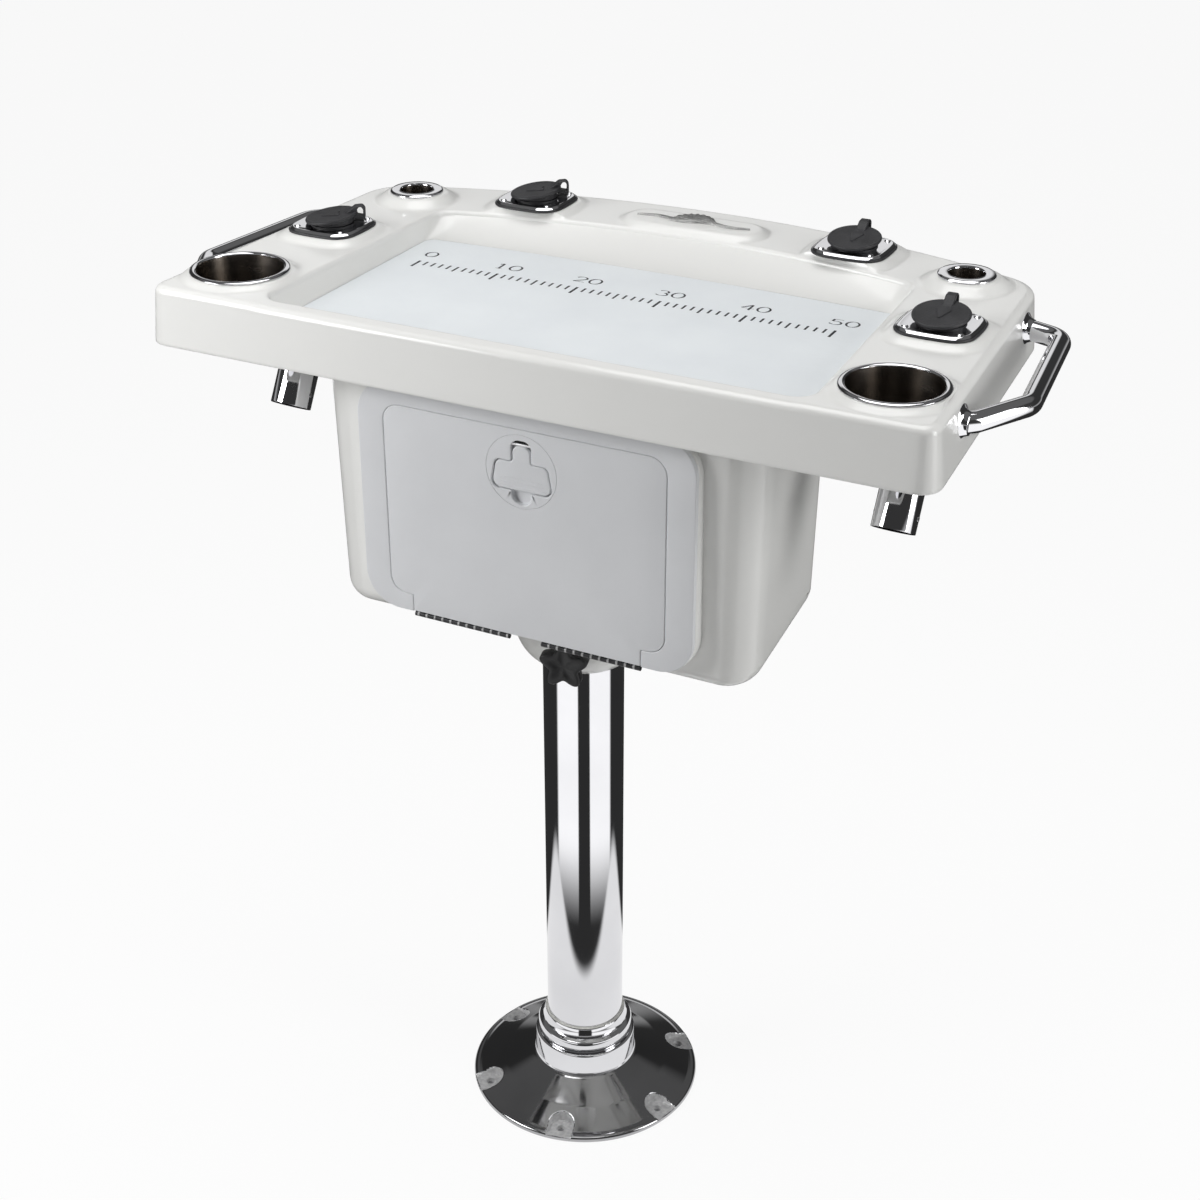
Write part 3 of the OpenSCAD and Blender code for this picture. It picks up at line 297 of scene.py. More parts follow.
def add_mesh(name, verts, quads, caps, mats, body, nodes=(), slot=None, sharp=32, face_mats=None):
    """Mesh object in metres from points in millimetres, four-sided faces and flat end caps. Faces are turned
    outward by the sign of the volume that they enclose: the sum over triangles of the triple product of
    their corners, over six."""
    v = np.asarray(verts, float) * MM
    fans = [np.stack([np.full(len(cap) - 2, cap[0]), cap[1:-1], cap[2:]], -1) for cap in caps]
    tris = np.concatenate([quads[:, [0, 1, 2]], quads[:, [0, 2, 3]], *fans])
    a, b, c = v[tris[:, 0]], v[tris[:, 1]], v[tris[:, 2]]
    volume = float(np.einsum("ij,ij->i", a, np.cross(b, c)).sum() / 6)
    if volume < 0:
        quads = quads[:, ::-1]
        caps = [cap[::-1] for cap in caps]
    mesh = bpy.data.meshes.new(name)
    mesh.from_pydata(v.tolist(), [], quads.tolist() + [cap.tolist() for cap in caps])
    for mat in mats if isinstance(mats, list) else [mats]:
        mesh.materials.append(mat)
    if face_mats is not None:
        mesh.polygons.foreach_set("material_index", np.asarray(face_mats, np.int32))
    mesh.shade_smooth()
    mesh.set_sharp_from_angle(angle=math.radians(sharp))
    obj = bpy.data.objects.new(name, mesh)
    scene.collection.objects.link(obj)
    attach(obj, body)
    if nodes:
        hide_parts(*nodes)
    return obj


def ring_faces(rows, cols, closed=False):
    """Quads between neighbouring rings of a grid whose columns close on themselves: the point in row i and
    column j has the number i times cols plus j."""
    last = rows if closed else rows - 1
    i, j = np.meshgrid(np.arange(last), np.arange(cols), indexing="ij")
    k = (i + 1) % rows
    m = (j + 1) % cols
    return np.stack([i * cols + j, i * cols + m, k * cols + m, k * cols + j], -1).reshape(-1, 4)


def end_caps(rows, cols):
    """Flat faces that close the first and the last ring of a stack."""
    return [np.arange(cols - 1, -1, -1), np.arange((rows - 1) * cols, rows * cols)]


def ring_mesh(name, rings, mats, body, nodes=(), slot=None, closed=False, **more):
    """Solid from a stack of rings, closed at its ends by flat faces unless the stack itself closes."""
    grid = np.asarray(rings, float)
    rows, cols = grid.shape[:2]
    caps = [] if closed else end_caps(rows, cols)
    quads = ring_faces(rows, cols, closed)
    return add_mesh(name, grid.reshape(-1, 3), quads, caps, mats, body, nodes, slot, **more)


print("a stack of 3 rings of 8 points has", len(ring_faces(3, 8)), "side faces")

# %% [markdown]
# ## Outlines
# Most moulded pieces start from an outline: straight sides with rounded corners, or a circle. Curve objects
# could give the same loops, but here they are arrays, which can be bent and lifted by one more formula. Their
# points are spread evenly, so that the faces between two rings stay regular.

# %% Outlines
def ellipse(rx, ry, angles):
    """Points of an ellipse at the angles: rx times the cosine, ry times the sine."""
    return np.stack([rx * np.cos(angles), ry * np.sin(angles)], -1)


def corner_loop(points, radii, steps=10):
    """Closed outline: each corner is rounded by an arc of its radius, between the two tangent points. The
    arc's middle lies on the bisector, at the radius over the sine of half the corner's angle."""
    p = np.asarray(points, float)
    out = []
    for k, (b, r) in enumerate(zip(p, radii)):
        if r <= 0:
            out.append(b[None])
            continue
        a, c = p[k - 1], p[(k + 1) % len(p)]
        u = (a - b) / np.linalg.norm(a - b)
        w = (c - b) / np.linalg.norm(c - b)
        half = math.acos(float(np.clip(u @ w, -1, 1))) / 2
        mid = b + (u + w) / np.linalg.norm(u + w) * r / math.sin(half)
        s = b + u * r / math.tan(half) - mid
        e = b + w * r / math.tan(half) - mid
        first = math.atan2(s[1], s[0])
        turn = (math.atan2(e[1], e[0]) - first + math.pi * 3) % (math.pi * 2) - math.pi
        out.append(mid + ellipse(r, r, first + turn * np.linspace(0, 1, steps)))
    return np.vstack(out)


def around(count):
    """Evenly spaced angles of a full turn."""
    return np.linspace(0, 2 * math.pi, count, endpoint=False)


def even(loop, count):
    """The same closed outline with evenly spaced points along its length, from its first point."""
    closed = np.vstack([loop, loop[:1]])
    gaps = np.linalg.norm(np.diff(closed, axis=0), axis=1)
    length = np.concatenate([[0], np.cumsum(gaps)])
    at = np.linspace(0, length[-1], count, endpoint=False)
    return np.stack([np.interp(at, length, closed[:, 0]), np.interp(at, length, closed[:, 1])], -1)


def softened(loop, times):
    """Smoother closed outline: each point becomes half itself and a quarter of each neighbour, repeatedly."""
    for _ in range(times):
        loop = loop * 0.5 + (np.roll(loop, 1, 0) + np.roll(loop, -1, 0)) * 0.25
    return loop


square = corner_loop([(0, 0), (9, 0), (9, 9), (0, 9)], [2, 2, 2, 2])
print("a square with round corners has", len(square), "points")

# %% [markdown]
# ## Rings and sections
# An outline becomes a solid when its rings move in and out as they rise: moved along its normals by a quarter
# round it gets a soft edge, which a bevel modifier would give less evenly. Turned pieces such as cups and
# collars are simpler still: a section turned about an axis. The step is the soft edge of every formula below.

# %% Rings and sections
def moved(loop, distance):
    """Closed outline moved outward along its normals, which are its tangents turned by a right angle."""
    d = np.roll(loop, -1, 0) - np.roll(loop, 1, 0)
    n = np.stack([d[:, 1], -d[:, 0]], -1)
    n /= np.linalg.norm(n, axis=1, keepdims=True) + 1e-12
    area = 0.5 * np.sum(loop[:, 0] * np.roll(loop[:, 1], -1) - np.roll(loop[:, 0], -1) * loop[:, 1])
    return loop + (n if area > 0 else -n) * distance


def between(first, second, t):
    """Outline part of the way from the first to the second: one minus t of the first, t of the second."""
    return first * (1 - t) + second * t


def at_z(loop, z):
    """Plan outline as a ring at height z, which is one value or one for each point."""
    return np.column_stack([loop, np.broadcast_to(z, len(loop))])


def arc(radius, count):
    """Quarter round as pairs (sideways, upward) from (0, 0) to (-radius, radius)."""
    t = np.linspace(0, math.pi / 2, count)
    return np.stack([radius * (np.cos(t) - 1), radius * np.sin(t)], -1)


def turned(profile, count):
    """Rings of a section of (radius, height) turned about the vertical: one circle for each of its points."""
    t = around(count)
    return np.stack([at_z(ellipse(radius, radius, t), height) for radius, height in profile])


def revolve(name, profile, mats, body, nodes=(), slot=None, centre=(0, 0, 0), count=128, turn=None, **more):
    """Solid of revolution about the vertical through centre, or about that axis turned by a matrix."""
    rings = turned(profile, count)
    if turn is not None:
        rings = rings @ np.asarray(turn).T
    return ring_mesh(name, rings + np.asarray(centre, float), mats, body, nodes, slot, **more)


def step(x, low, high):
    """Smooth step from 0 at low to 1 at high: 3t squared minus 2t cubed."""
    t = np.clip((np.asarray(x, float) - low) / (high - low), 0, 1)
    return t * t * (3 - 2 * t)


print("a square moved out by 1 mm is", np.ptp(moved(square, 1.0), axis=0).round(1), "mm wide")

# %% [markdown]
# ## Outlines of the table
# The table is one glassfibre moulding. From above, its front is straight, its sides taper a little and its
# rear edge bows out. Three outlines carry it: the edge of the deck, the rim of the work well and the foot of
# the well. All three have the same number of points, so that rings can run from one to the next.

# %% Outlines of the table
DECK = 1025.0
COLS = 760
FLAT_BOW = 4200.0


def bowed_plan(half_front, half_rear, front, rear, r_front, r_rear, count, bow=1060.0):
    """Outline with a straight front, tapering sides and a rear edge on an arc of radius bow."""
    far = rear - bow + math.sqrt(bow ** 2 - half_rear ** 2)
    reach = half_rear - r_rear * 1.25
    xs = np.linspace(reach, -reach, 41)
    rear_arc = np.stack([xs, rear - bow + np.sqrt(bow ** 2 - xs ** 2)], -1)
    right = [(0, -front), (half_front, -front), (half_rear, far)]
    left = [(-half_rear, far), (-half_front, -front)]
    radii = [0, r_front, r_rear] + [0] * len(xs) + [r_rear, r_front]
    return softened(even(corner_loop([*right, *rear_arc, *left], radii, 14), count), 3)


deck_edge = bowed_plan(437, 411, 159, 351, 16, 52, COLS)
well_rim = bowed_plan(307, 292, 135, 249, 18, 24, COLS)
well_foot = bowed_plan(291, 289, 131, 182, 9, 13, COLS, bow=FLAT_BOW)
print("deck", np.ptp(deck_edge, axis=0).round(1), "mm, well", np.ptp(well_rim, axis=0).round(1), "mm")

# %% [markdown]
# ## Pads and lip
# Under each fitting the deck rises in a low pad that melts into the surface, a long oval boss carries the
# ornament, and the front lip is a millimetre lower. A sculpt brush could raise them, but the cups and plates
# have to sit exactly on them. So the deck is a height over the plan: for each pad a smooth step of the
# distance from its middle, and where pads meet, the higher one counts.

# %% Pads and lip
DRINK = (371, -84)
TOOL = (340, 233)
RODS = {"left_outer": (-361, 82), "left_inner": (-199, 272),
        "right_inner": (199, 272), "right_outer": (361, 82)}
ORNAMENT_Y = 284
SQUARENESS = 3.2


def pad_height(x, y):
    """Height of the soft pads over the deck, in millimetres. The square pads measure their distance as the
    3.2th root of the sum of 3.2th powers, which lies between a circle and a square."""
    ax = np.abs(x)
    drink = 4.4 * (1 - step(np.hypot(ax - DRINK[0], y - DRINK[1]), 54.5, 66))
    tool = 9.9 * (1 - step(np.hypot(ax - TOOL[0], y - TOOL[1]), 32.5, 52))
    oval = 5.9 * (1 - step(np.hypot(np.maximum(ax - 58, 0), y - ORNAMENT_Y), 22, 36))
    h = np.maximum.reduce([drink, tool, oval])
    for px, py in (RODS["right_outer"], RODS["right_inner"]):
        u, v = np.abs(ax - px), np.abs(y - py)
        square = (u ** SQUARENESS + v ** SQUARENESS) ** (1 / SQUARENESS)
        h = np.maximum(h, 5.9 * (1 - step(square, 44, 58)))
    return h


def lip_drop(x, y):
    """Depth of the slightly lowered front lip, in front of the well."""
    return 1.0 * (1 - step(np.abs(x), 284, 312)) * step(-y, 116, 133)


def deck_height(loop):
    """Height of the deck at the points of an outline."""
    x, y = loop[:, 0], loop[:, 1]
    return DECK + pad_height(x, y) - lip_drop(x, y)


print("highest point of the deck edge", round(float(deck_height(deck_edge).max()), 2), "mm")

# %% [markdown]
# ## Rings of the table
# The skin of the moulding is one closed surface: up from the underside of the well, out below the deck, down
# and round the foot of the skirt, up its outside, over the edge, back across the deck and down into the well.
# Each stretch adds its rings. The rear wall of the well is steeper above than below, so it falls by a power
# of the way instead of in proportion to it.

# %% Rings of the table
UNDERSIDE, WELL_FLOOR = 986.0, 992.0
SHELL = 6.0
LIP_R, EDGE_R = 5.0, 9.0


def table_rings():
    """Rings from the middle of the underside, out and over the deck, to the middle of the well's floor. Also
    returns where the deck rings start on the underside and on top, and how many there are."""
    rings = []
    rim_out = moved(well_rim, LIP_R)
    edge_in = moved(deck_edge, -EDGE_R)
    deck = [between(rim_out, edge_in, t) for t in np.linspace(0, 1, 41)]
    low_foot = moved(well_foot, SHELL)
    centre = low_foot.mean(0)
    for t in (0.02, 0.6, 1.0):
        rings.append(at_z(between(centre, low_foot, t), UNDERSIDE))
    for t in (0.5, 1.0):
        rings.append(at_z(between(low_foot, rim_out, t), UNDERSIDE + 27 * t ** 1.5))
    under = len(rings)
    rings += [at_z(loop, deck_height(loop) - SHELL) for loop in deck]
    for out, z in ((-6.5, 1012.0), (0.5, 962.0), (1.2, 961.0), (5.2, 961.0), (5.9, 962.0)):
        rings.append(at_z(moved(deck_edge, out), z))
    drop = lip_drop(deck_edge[:, 0], deck_edge[:, 1])
    for t in np.linspace(0.05, 1, 10):
        rings.append(at_z(moved(deck_edge, 5.9 - 5.1 * t), 962 + (54 - drop) * t))
    for a in np.radians(np.linspace(6, 84, 14)):
        inward = EDGE_R * (1 - math.cos(a)) - 0.8 * math.cos(a)
        rings.append(at_z(moved(deck_edge, -inward), DECK - drop - EDGE_R * (1 - math.sin(a))))
    top = len(rings)
    rings += [at_z(loop, deck_height(loop)) for loop in deck[::-1]]
    start = DECK - lip_drop(well_rim[:, 0], well_rim[:, 1])
    for a in np.radians(np.linspace(20, 90, 6)):
        rings.append(at_z(moved(well_rim, LIP_R * (1 - math.sin(a))), start - LIP_R * (1 - math.cos(a))))
    rear = step(well_rim[:, 1], 120, 215)
    for t in np.linspace(0.08, 1, 12):
        fall = between(t, 1 - (1 - t) ** 1.45, rear)
        rings.append(at_z(between(well_rim, well_foot, t), between(start - LIP_R, 1001.5, fall)))
    centre = well_foot.mean(0)
    for t in (1.0, 0.6, 0.02):
        rings.append(at_z(between(centre, well_foot, t), WELL_FLOOR))
    return np.asarray(rings), under, top, len(deck)


rings, under, top, deep = table_rings()
print("table", len(rings), "rings of", COLS, "points")

# %% [markdown]
# ## Table skin
# The holders pass through the deck, so the deck needs holes. A boolean would cut them with a clean edge but
# leave long thin faces round them. The rims cover the edges, so it is enough to leave out the faces within
# each hole, above and below, and to join the two edges by walls. The walls are found by comparing each left
# out face with its four neighbours.

# %% Table skin
HOLES = [(s * DRINK[0], DRINK[1], 50.2) for s in (-1, 1)]
HOLES += [(s * TOOL[0], TOOL[1], 24.5) for s in (-1, 1)]
HOLES += [(x, y - 7, 28.0) for x, y in RODS.values()]


def hole_walls(cut):
    """Quads that join the lower and the upper edge of every hole in a grid of left out deck faces."""
    cols = cut.shape[1]
    walls = []
    k, j = np.nonzero(cut)
    for dk, dj in ((0, 1), (0, -1), (1, 0), (-1, 0)):
        next_k, next_j = k + dk, (j + dj) % cols
        inside = (next_k >= 0) & (next_k < deep - 1)
        edge = np.ones(len(k), bool)
        edge[inside] = ~cut[next_k[inside], next_j[inside]]
        a, b = k[edge], j[edge]
        if dk == 0:
            col = (b + (dj > 0)) % cols
            ends = (a, col), (a + 1, col)
        else:
            row = a + (dk > 0)
            ends = (row, b), (row, (b + 1) % cols)
        low = [(under + r) * cols + c for r, c in ends]
        high = [(top + deep - 1 - r) * cols + c for r, c in ends]
        clockwise = dj > 0 or dk < 0
        order = [low[0], low[1], high[1], high[0]] if clockwise else [low[1], low[0], high[0], high[1]]
        walls.append(np.stack(order, -1))
    return walls


rows = len(rings)
points = rings.reshape(-1, 3)
grid = ring_faces(rows, COLS).reshape(rows - 1, COLS, 4)
middle = points[grid[under:under + deep - 1]].mean(2)
cut = np.zeros((deep - 1, COLS), bool)
for x, y, r in HOLES:
    cut |= np.hypot(middle[..., 0] - x, middle[..., 1] - y) < r
left_out = np.zeros((rows - 1, COLS), bool)
left_out[under:under + deep - 1] = cut
left_out[top:top + deep - 1] = cut[::-1]
quads = np.concatenate([grid[~left_out], *hole_walls(cut)])
add_mesh("table_skin", points, quads, end_caps(rows, COLS), gelcoat, "head",
         ["table_top"], "gelcoat", sharp=50)
print("table skin", len(quads), "faces,", int(cut.sum()), "left out on each side of the deck")

# %% [markdown]
# ## Cutting board
# The board is a loose plate of white plastic that lies in the well. A cube with a bevel would do for a plain
# rectangle, but the board follows the bowed well. So it gets an outline of its own from the same formula, and
# a quarter round along its upper edge.

# %% Cutting board
BOARD_LOW, BOARD_TOP = 992.0, 1002.0
BOARD_ROUND = 1.6

board_loop = bowed_plan(290, 288, 130, 181, 8, 12, 900, bow=FLAT_BOW)
board_rings = [at_z(board_loop, BOARD_LOW)]
board_rings += [at_z(moved(board_loop, d), BOARD_TOP - BOARD_ROUND + h) for d, h in arc(BOARD_ROUND, 7)]
ring_mesh("board_slab", board_rings, board_white, "board", ["cutting_board"], "board")
print("board", np.ptp(board_loop, axis=0).round(1), "mm,", BOARD_TOP - BOARD_LOW, "mm thick")

# %% [markdown]
# ## Ruler ticks
# A ruler is printed on the board: one tick for each centimetre, longer at five and at ten. A print could be
# an image, but it would blur when the camera comes close. So each tick is a thin dark shape that lies on the
# board, and all 51 are one array of outlines whose lengths follow from the number of the centimetre.

# %% Ruler ticks
RULE_X, RULE_Y = -254.8, 97.1
PRINT_Z, PRINT_SKIRT = 1002.05, 0.35
ink = surface("print", (0.008, 0.009, 0.012), (0.02, 0.022, 0.03), 0.6, scale=300.0, grain=0.0)


def printed(name, outlines):
    """Thin print from an array of outlines (count, points, 2): each is a flat face with a short skirt. Each
    outline has twice its number of points, first the upper ones and then the same ones lower down."""
    flat = np.asarray(outlines, float)
    count, n = flat.shape[:2]
    high = np.concatenate([flat, np.full((count, n, 1), PRINT_Z)], -1)
    verts = np.concatenate([high, high - [0, 0, PRINT_SKIRT]], 1).reshape(-1, 3)
    first = np.arange(count)[:, None] * 2 * n
    i = np.arange(n)
    j = (i + 1) % n
    skirts = (first[:, :, None] + np.stack([i, n + i, n + j, j], -1)).reshape(-1, 4)
    faces = [*(first + i), *(first + 2 * n - 1 - i)]
    return add_mesh(name, verts, skirts, faces, ink, "board", (), "board")


cm = np.arange(51)
deep_tick = np.where(cm % 10 == 0, 20.5, np.where(cm % 5 == 0, 16.0, 12.0))
half_tick = np.where(cm % 10 == 0, 1.5, 1.25)
left = RULE_X + 10.0 * cm - half_tick
right = RULE_X + 10.0 * cm + half_tick
foot = RULE_Y - deep_tick
head = np.full(len(cm), RULE_Y)
ticks = np.stack([left, foot, right, foot, right, head, left, head], -1).reshape(-1, 4, 2)
printed("ruler_ticks", ticks)
print(len(ticks), "ticks")

# %% [markdown]
# ## Ruler figures
# Every tenth tick has a number in round, old-style figures. A font would bring its own style, so the figures
# are drawn: each is a few pen strokes along arcs and lines. A pen with a slanted nib draws thick on the way
# down and thin across, so the width of a stroke follows how upright its path is.

# %% Ruler figures
FIGURE_RIGHT, FIGURE_UP = 2.0, 16.5
FIGURE_HIGH, PEN = 16.0, 2.2
DRAWN_HIGH, DRAWN_PITCH, STRETCH = 14.0, 10.5, 1.5


def stroke(points, steps=40):
    """Outline of a pen stroke along a smoothed path: its half width is half the pen times 0.28 plus 0.72 of
    how upright the path is."""
    p = np.asarray(points, float) * [STRETCH, 1]
    t = np.linspace(0, 1, len(p))
    s = np.linspace(0, 1, steps)
    xy = np.stack([np.interp(s, t, p[:, 0]), np.interp(s, t, p[:, 1])], -1)
    for _ in range(4):
        xy[1:-1] = xy[1:-1] / 2 + (xy[:-2] + xy[2:]) / 4
    d = np.gradient(xy, axis=0)
    d /= np.linalg.norm(d, axis=1, keepdims=True) + 1e-9
    n = np.stack([-d[:, 1], d[:, 0]], -1)
    half = PEN / 2 * (0.28 + 0.72 * np.abs(d[:, 1:2]))
    return np.vstack([xy + n * half, (xy - n * half)[::-1]])


def bow(cx, cy, rx, ry, start, stop, count=24):
    """Points along an ellipse between two angles in degrees."""
    return ellipse(rx, ry, np.radians(np.linspace(start, stop, count))) + [cx, cy]


FIGURES = {
    "0": [bow(4.5, 7, 4.0, 7, 90, 270), bow(4.5, 7, 4.0, 7, 270, 450)],
    "1": [[(2.0, 11.6), (4.4, 14)], [(4.4, 14), (4.4, 0)], [(2.2, 0.1), (6.6, 0.1)]],
    "2": [[*bow(4.4, 10, 3.6, 4, 165, -20, 16), (6.2, 6.5), (3.2, 3), (0.8, 0.4)], [(0.8, 0.4), (8.6, 0.4)]],
    "3": [bow(4.2, 10.6, 3.2, 3.4, 150, -75, 18), bow(4.2, 3.8, 3.9, 3.8, 80, -150, 20)],
    "4": [[(6.2, 14), (0.6, 4.4)], [(0.6, 4.4), (9.0, 4.4)], [(6.2, 14), (6.2, 0)]],
    "5": [[(2.0, 13.6), (7.8, 13.6)], [(2.0, 13.6), (1.6, 8.0)], bow(4.2, 4.4, 3.9, 4.4, 120, -150, 22)],
}


def number_strokes(text, x, y):
    """Outlines of the strokes of a number, centred on x with their feet at y."""
    scale = FIGURE_HIGH / DRAWN_HIGH
    pitch = DRAWN_PITCH * scale * STRETCH
    start = x - pitch * len(text) / 2
    return [stroke(path) * scale + [start + k * pitch, y]
            for k, figure in enumerate(text) for path in FIGURES[figure]]


strokes = []
for tenth in range(0, 51, 10):
    strokes += number_strokes(str(tenth), RULE_X + 10.0 * tenth + FIGURE_RIGHT, RULE_Y + FIGURE_UP)
printed("ruler_figures", strokes)
print(len(strokes), "pen strokes")

# %% [markdown]
# ## Box shell
# The tackle box hangs under the table: a thin shell with rounded corners, a sloping bottom, leaning walls and
# an opening behind the hatch. A box with bevels would do from afar. The ring stack is used again, because
# draft, slope and corner radius change together from ring to ring. The rings go up outside and come down
# inside, and the faces of the opening are left out of both walls.

# %% Box shell
BOX_FRONT, BOX_REAR, BOX_HALF, BOX_CORNER = -123.5, 90.0, 256.0, 45.0
BOX_LOW, BOX_TOP, BOX_WALL = 668.0, 986.0, 5.0
SLOPE, KNEE_R, DRAFT = 0.17, 25.0, 6.0
PORT_HALF, PORT_LOW, PORT_HIGH = 159.0, 720.0, 931.0


def box_loop(grow):
    """Plan of the box, moved outward by grow, with points at the sides of the port; starts at the front."""
    h, f, b, r = BOX_HALF + grow, BOX_FRONT - grow, BOX_REAR + grow, BOX_CORNER + grow
    across = [-PORT_HALF, -110, -50, 0, 50, 110, PORT_HALF]
    parts = [np.column_stack([across, np.full(len(across), f)])]
    for cx, cy, first in ((h - r, f + r, -90), (h - r, b - r, 0), (-h + r, b - r, 90), (-h + r, f + r, 180)):
        parts.append(ellipse(r, r, np.radians(first + np.linspace(0, 90, 17))) + [cx, cy])
    return np.vstack(parts)


def box_rings(grow, bottom):
    """Rings of a box skin from the middle of its sloping bottom, round the knee and up the leaning walls."""
    knee_r = KNEE_R + grow
    rings = []
    for t in (0.03, 0.7):
        loop = box_loop(grow - DRAFT - knee_r) * t
        rings.append(at_z(loop, bottom + SLOPE * (loop[:, 1] - BOX_FRONT)))
    for a in np.radians(np.linspace(0, 90, 9)):
        loop = box_loop(grow - DRAFT - knee_r * (1 - math.sin(a)))
        rings.append(at_z(loop, bottom + knee_r * (1 - math.cos(a)) + SLOPE * (loop[:, 1] - BOX_FRONT)))
    knee = rings[-1]
    for z in (PORT_LOW, 780, 850, PORT_HIGH, 960, BOX_TOP):
        share = (z - knee[:, 2:]) / (BOX_TOP - knee[:, 2:])
        rings.append(at_z(between(knee[:, :2], box_loop(grow), share), z))
    return rings


rings = np.asarray(box_rings(0.0, BOX_LOW) + box_rings(-BOX_WALL, BOX_LOW + BOX_WALL)[::-1])
rows, cols = rings.shape[:2]
points = rings.reshape(-1, 3)
quads = ring_faces(rows, cols)
middle = points[quads].mean(1)
open_port = (np.abs(middle[:, 0]) < PORT_HALF) & (middle[:, 1] < -105)
open_port &= (middle[:, 2] > PORT_LOW) & (middle[:, 2] < PORT_HIGH)
add_mesh("box_shell", points, quads[~open_port], end_caps(rows, cols), gelcoat, "head",
         ["storage_box"], "gelcoat", sharp=40)
print("box shell", rows, "rings,", int(open_port.sum()), "faces left out for the port")

# %% [markdown]
# ## Boss and clamp pad
# Below the box a round boss takes the tube, and a small pad on it takes the clamp screw. Both are turned
# sections. The clamp looks forward and a little aside, so everything on its axis is turned about the vertical
# first and then laid along that axis: sideways, upward and outward become the three directions of the clamp.

# %% Boss and clamp pad
CLAMP_TURN = math.radians(14)
CLAMP_Z = 642.0
CLAMP_OUT = np.array([math.sin(CLAMP_TURN), -math.cos(CLAMP_TURN), 0.0])
CLAMP_SIDE = np.array([math.cos(CLAMP_TURN), math.sin(CLAMP_TURN), 0.0])


def along_clamp(rings):
    """Rings about the vertical laid along the clamp screw: x goes sideways, y upward and z outward."""
    r = np.asarray(rings, float)
    up = r[..., 1:2] * np.array([0, 0, 1.0])
    return r[..., :1] * CLAMP_SIDE + up + r[..., 2:] * CLAMP_OUT + np.array([0, 0, CLAMP_Z])


boss = [(52.1, 608.6), (54, 609.4)]
boss += [(45 + 34 * math.sin(a), 609 + 51 * (1 - math.cos(a))) for a in np.radians(np.linspace(18, 90, 18))]
boss += [(79, 700), (62, 716), (52.1, 716)]
revolve("box_boss", boss, gelcoat, "head", ["storage_box"], "gelcoat", closed=True)
pad = [(14, 60), (13.5, 76), (12.5, 79), (11, 80), (4.6, 80)]
ring_mesh("box_pad", along_clamp(turned(pad, 64)), gelcoat, "head", ["storage_box"], "gelcoat")
print("boss", 2 * 79, "mm wide, clamp turned by", round(math.degrees(CLAMP_TURN)), "degrees")

# %% [markdown]
# ## Hatch frame
# A hatch is bought as a set: a frame that is screwed on, and a door that folds down on two strip hinges.
# Frame and door lie almost flush on a raised land of the box. The land and the inner parts of the frame are
# flat rings between two rounded rectangles. The frame's face is open at the hinges, so its outline runs round
# like a letter C, and it is closed by a flat face in front.

# %% Hatch frame
LAND, FACE = 132.0, 138.0
BACK = 118.5


def upright(rings):
    """Plan rings of (x, height, distance to the front) that stand upright: the distance becomes minus Y."""
    r = np.asarray(rings, float)
    return np.stack([r[..., 0], -r[..., 2], r[..., 1]], -1)


def rect_loop(half, low, high, r, count=360):
    """Rounded rectangle in X and Z with its first point at the middle of its lower edge."""
    corners = [(0, low), (half, low), (half, high), (-half, high), (-half, low)]
    return even(corner_loop(corners, [0, r, r, r, r], 16), count)


def ring_plate(name, outside, inside, back, front, outer_round, inner_round, mat, nodes, slot):
    """Flat ring of the head between two outlines with the same count of points; its front edges are round."""
    rings = [at_z(outside, back)]
    rings += [at_z(moved(outside, d), front - outer_round + h) for d, h in arc(outer_round, 6)]
    rings += [at_z(moved(inside, -d), front - inner_round + h) for d, h in arc(inner_round, 4)[::-1]]
    rings.append(at_z(inside, back))
    return ring_mesh(name, upright(rings), mat, "head", nodes, slot, closed=True)


opening = rect_loop(156.5, 722.5, 928.5, 13.5)
port = rect_loop(PORT_HALF, PORT_LOW, PORT_HIGH, 16)
ring_plate("box_land", rect_loop(196, 692, 958, 41), port, BACK, LAND,
           2.5, 0.6, gelcoat, ["storage_box"], "gelcoat")
ring_plate("frame_sleeve", rect_loop(158.9, 720.1, 930.9, 15.9), opening, BACK, 133.4,
           0.4, 0.4, hatch_grey, ["hatch_frame"], "hatch_plastic")
ring_plate("frame_shelf", rect_loop(165, 713, 935, 20), opening, 132.1, 133.5,
           0.3, 0.3, hatch_grey, ["hatch_frame"], "hatch_plastic")

c_shape = [(136.7, 693), (195, 693), (195, 957), (-195, 957), (-195, 693), (-136.7, 693), (-136.7, 713.3),
           (-163.7, 713.3), (-163.7, 933.7), (163.7, 933.7), (163.7, 713.3), (136.7, 713.3)]
c_radii = [1.5, 40, 40, 40, 40, 1.5, 2, 19, 20, 20, 19, 2]
frame_loop = even(corner_loop(c_shape, c_radii, 14), 1400)
frame_rings = [at_z(frame_loop, LAND)]
frame_rings += [at_z(moved(frame_loop, d), FACE - 1.4 + h) for d, h in arc(1.4, 6)]
ring_mesh("frame_ring", upright(frame_rings), hatch_grey, "head", ["hatch_frame"], "hatch_plastic")
print("hatch frame", np.ptp(frame_loop, axis=0).round(1), "mm")

# %% [markdown]
# ## Hatch door
# What one sees of the door is the fine gap round it. A dark line could be painted, but here the gap is real:
# the outlines of door and frame are 0.4 mm apart with small rounded edges, and shadow draws the line. The
# door's face runs in rings from the round hole of the latch to its outline, so that no long thin faces cross
# it. Its points lie on rays from the middle of the latch. A thin tray stiffens the door from behind.

# %% Hatch door
LATCH_Z = 887.0
DOOR_BACK = 135.0

door_shape = [(0, 694), (136.3, 694), (136.3, 713.7), (163.3, 713.7), (163.3, 933.3), (-163.3, 933.3),
              (-163.3, 713.7), (-136.3, 713.7), (-136.3, 694)]
door_radii = [0, 1.5, 1.5, 19, 19, 19, 19, 1.5, 1.5]
door_loop = even(corner_loop(door_shape, door_radii, 14), 1200)


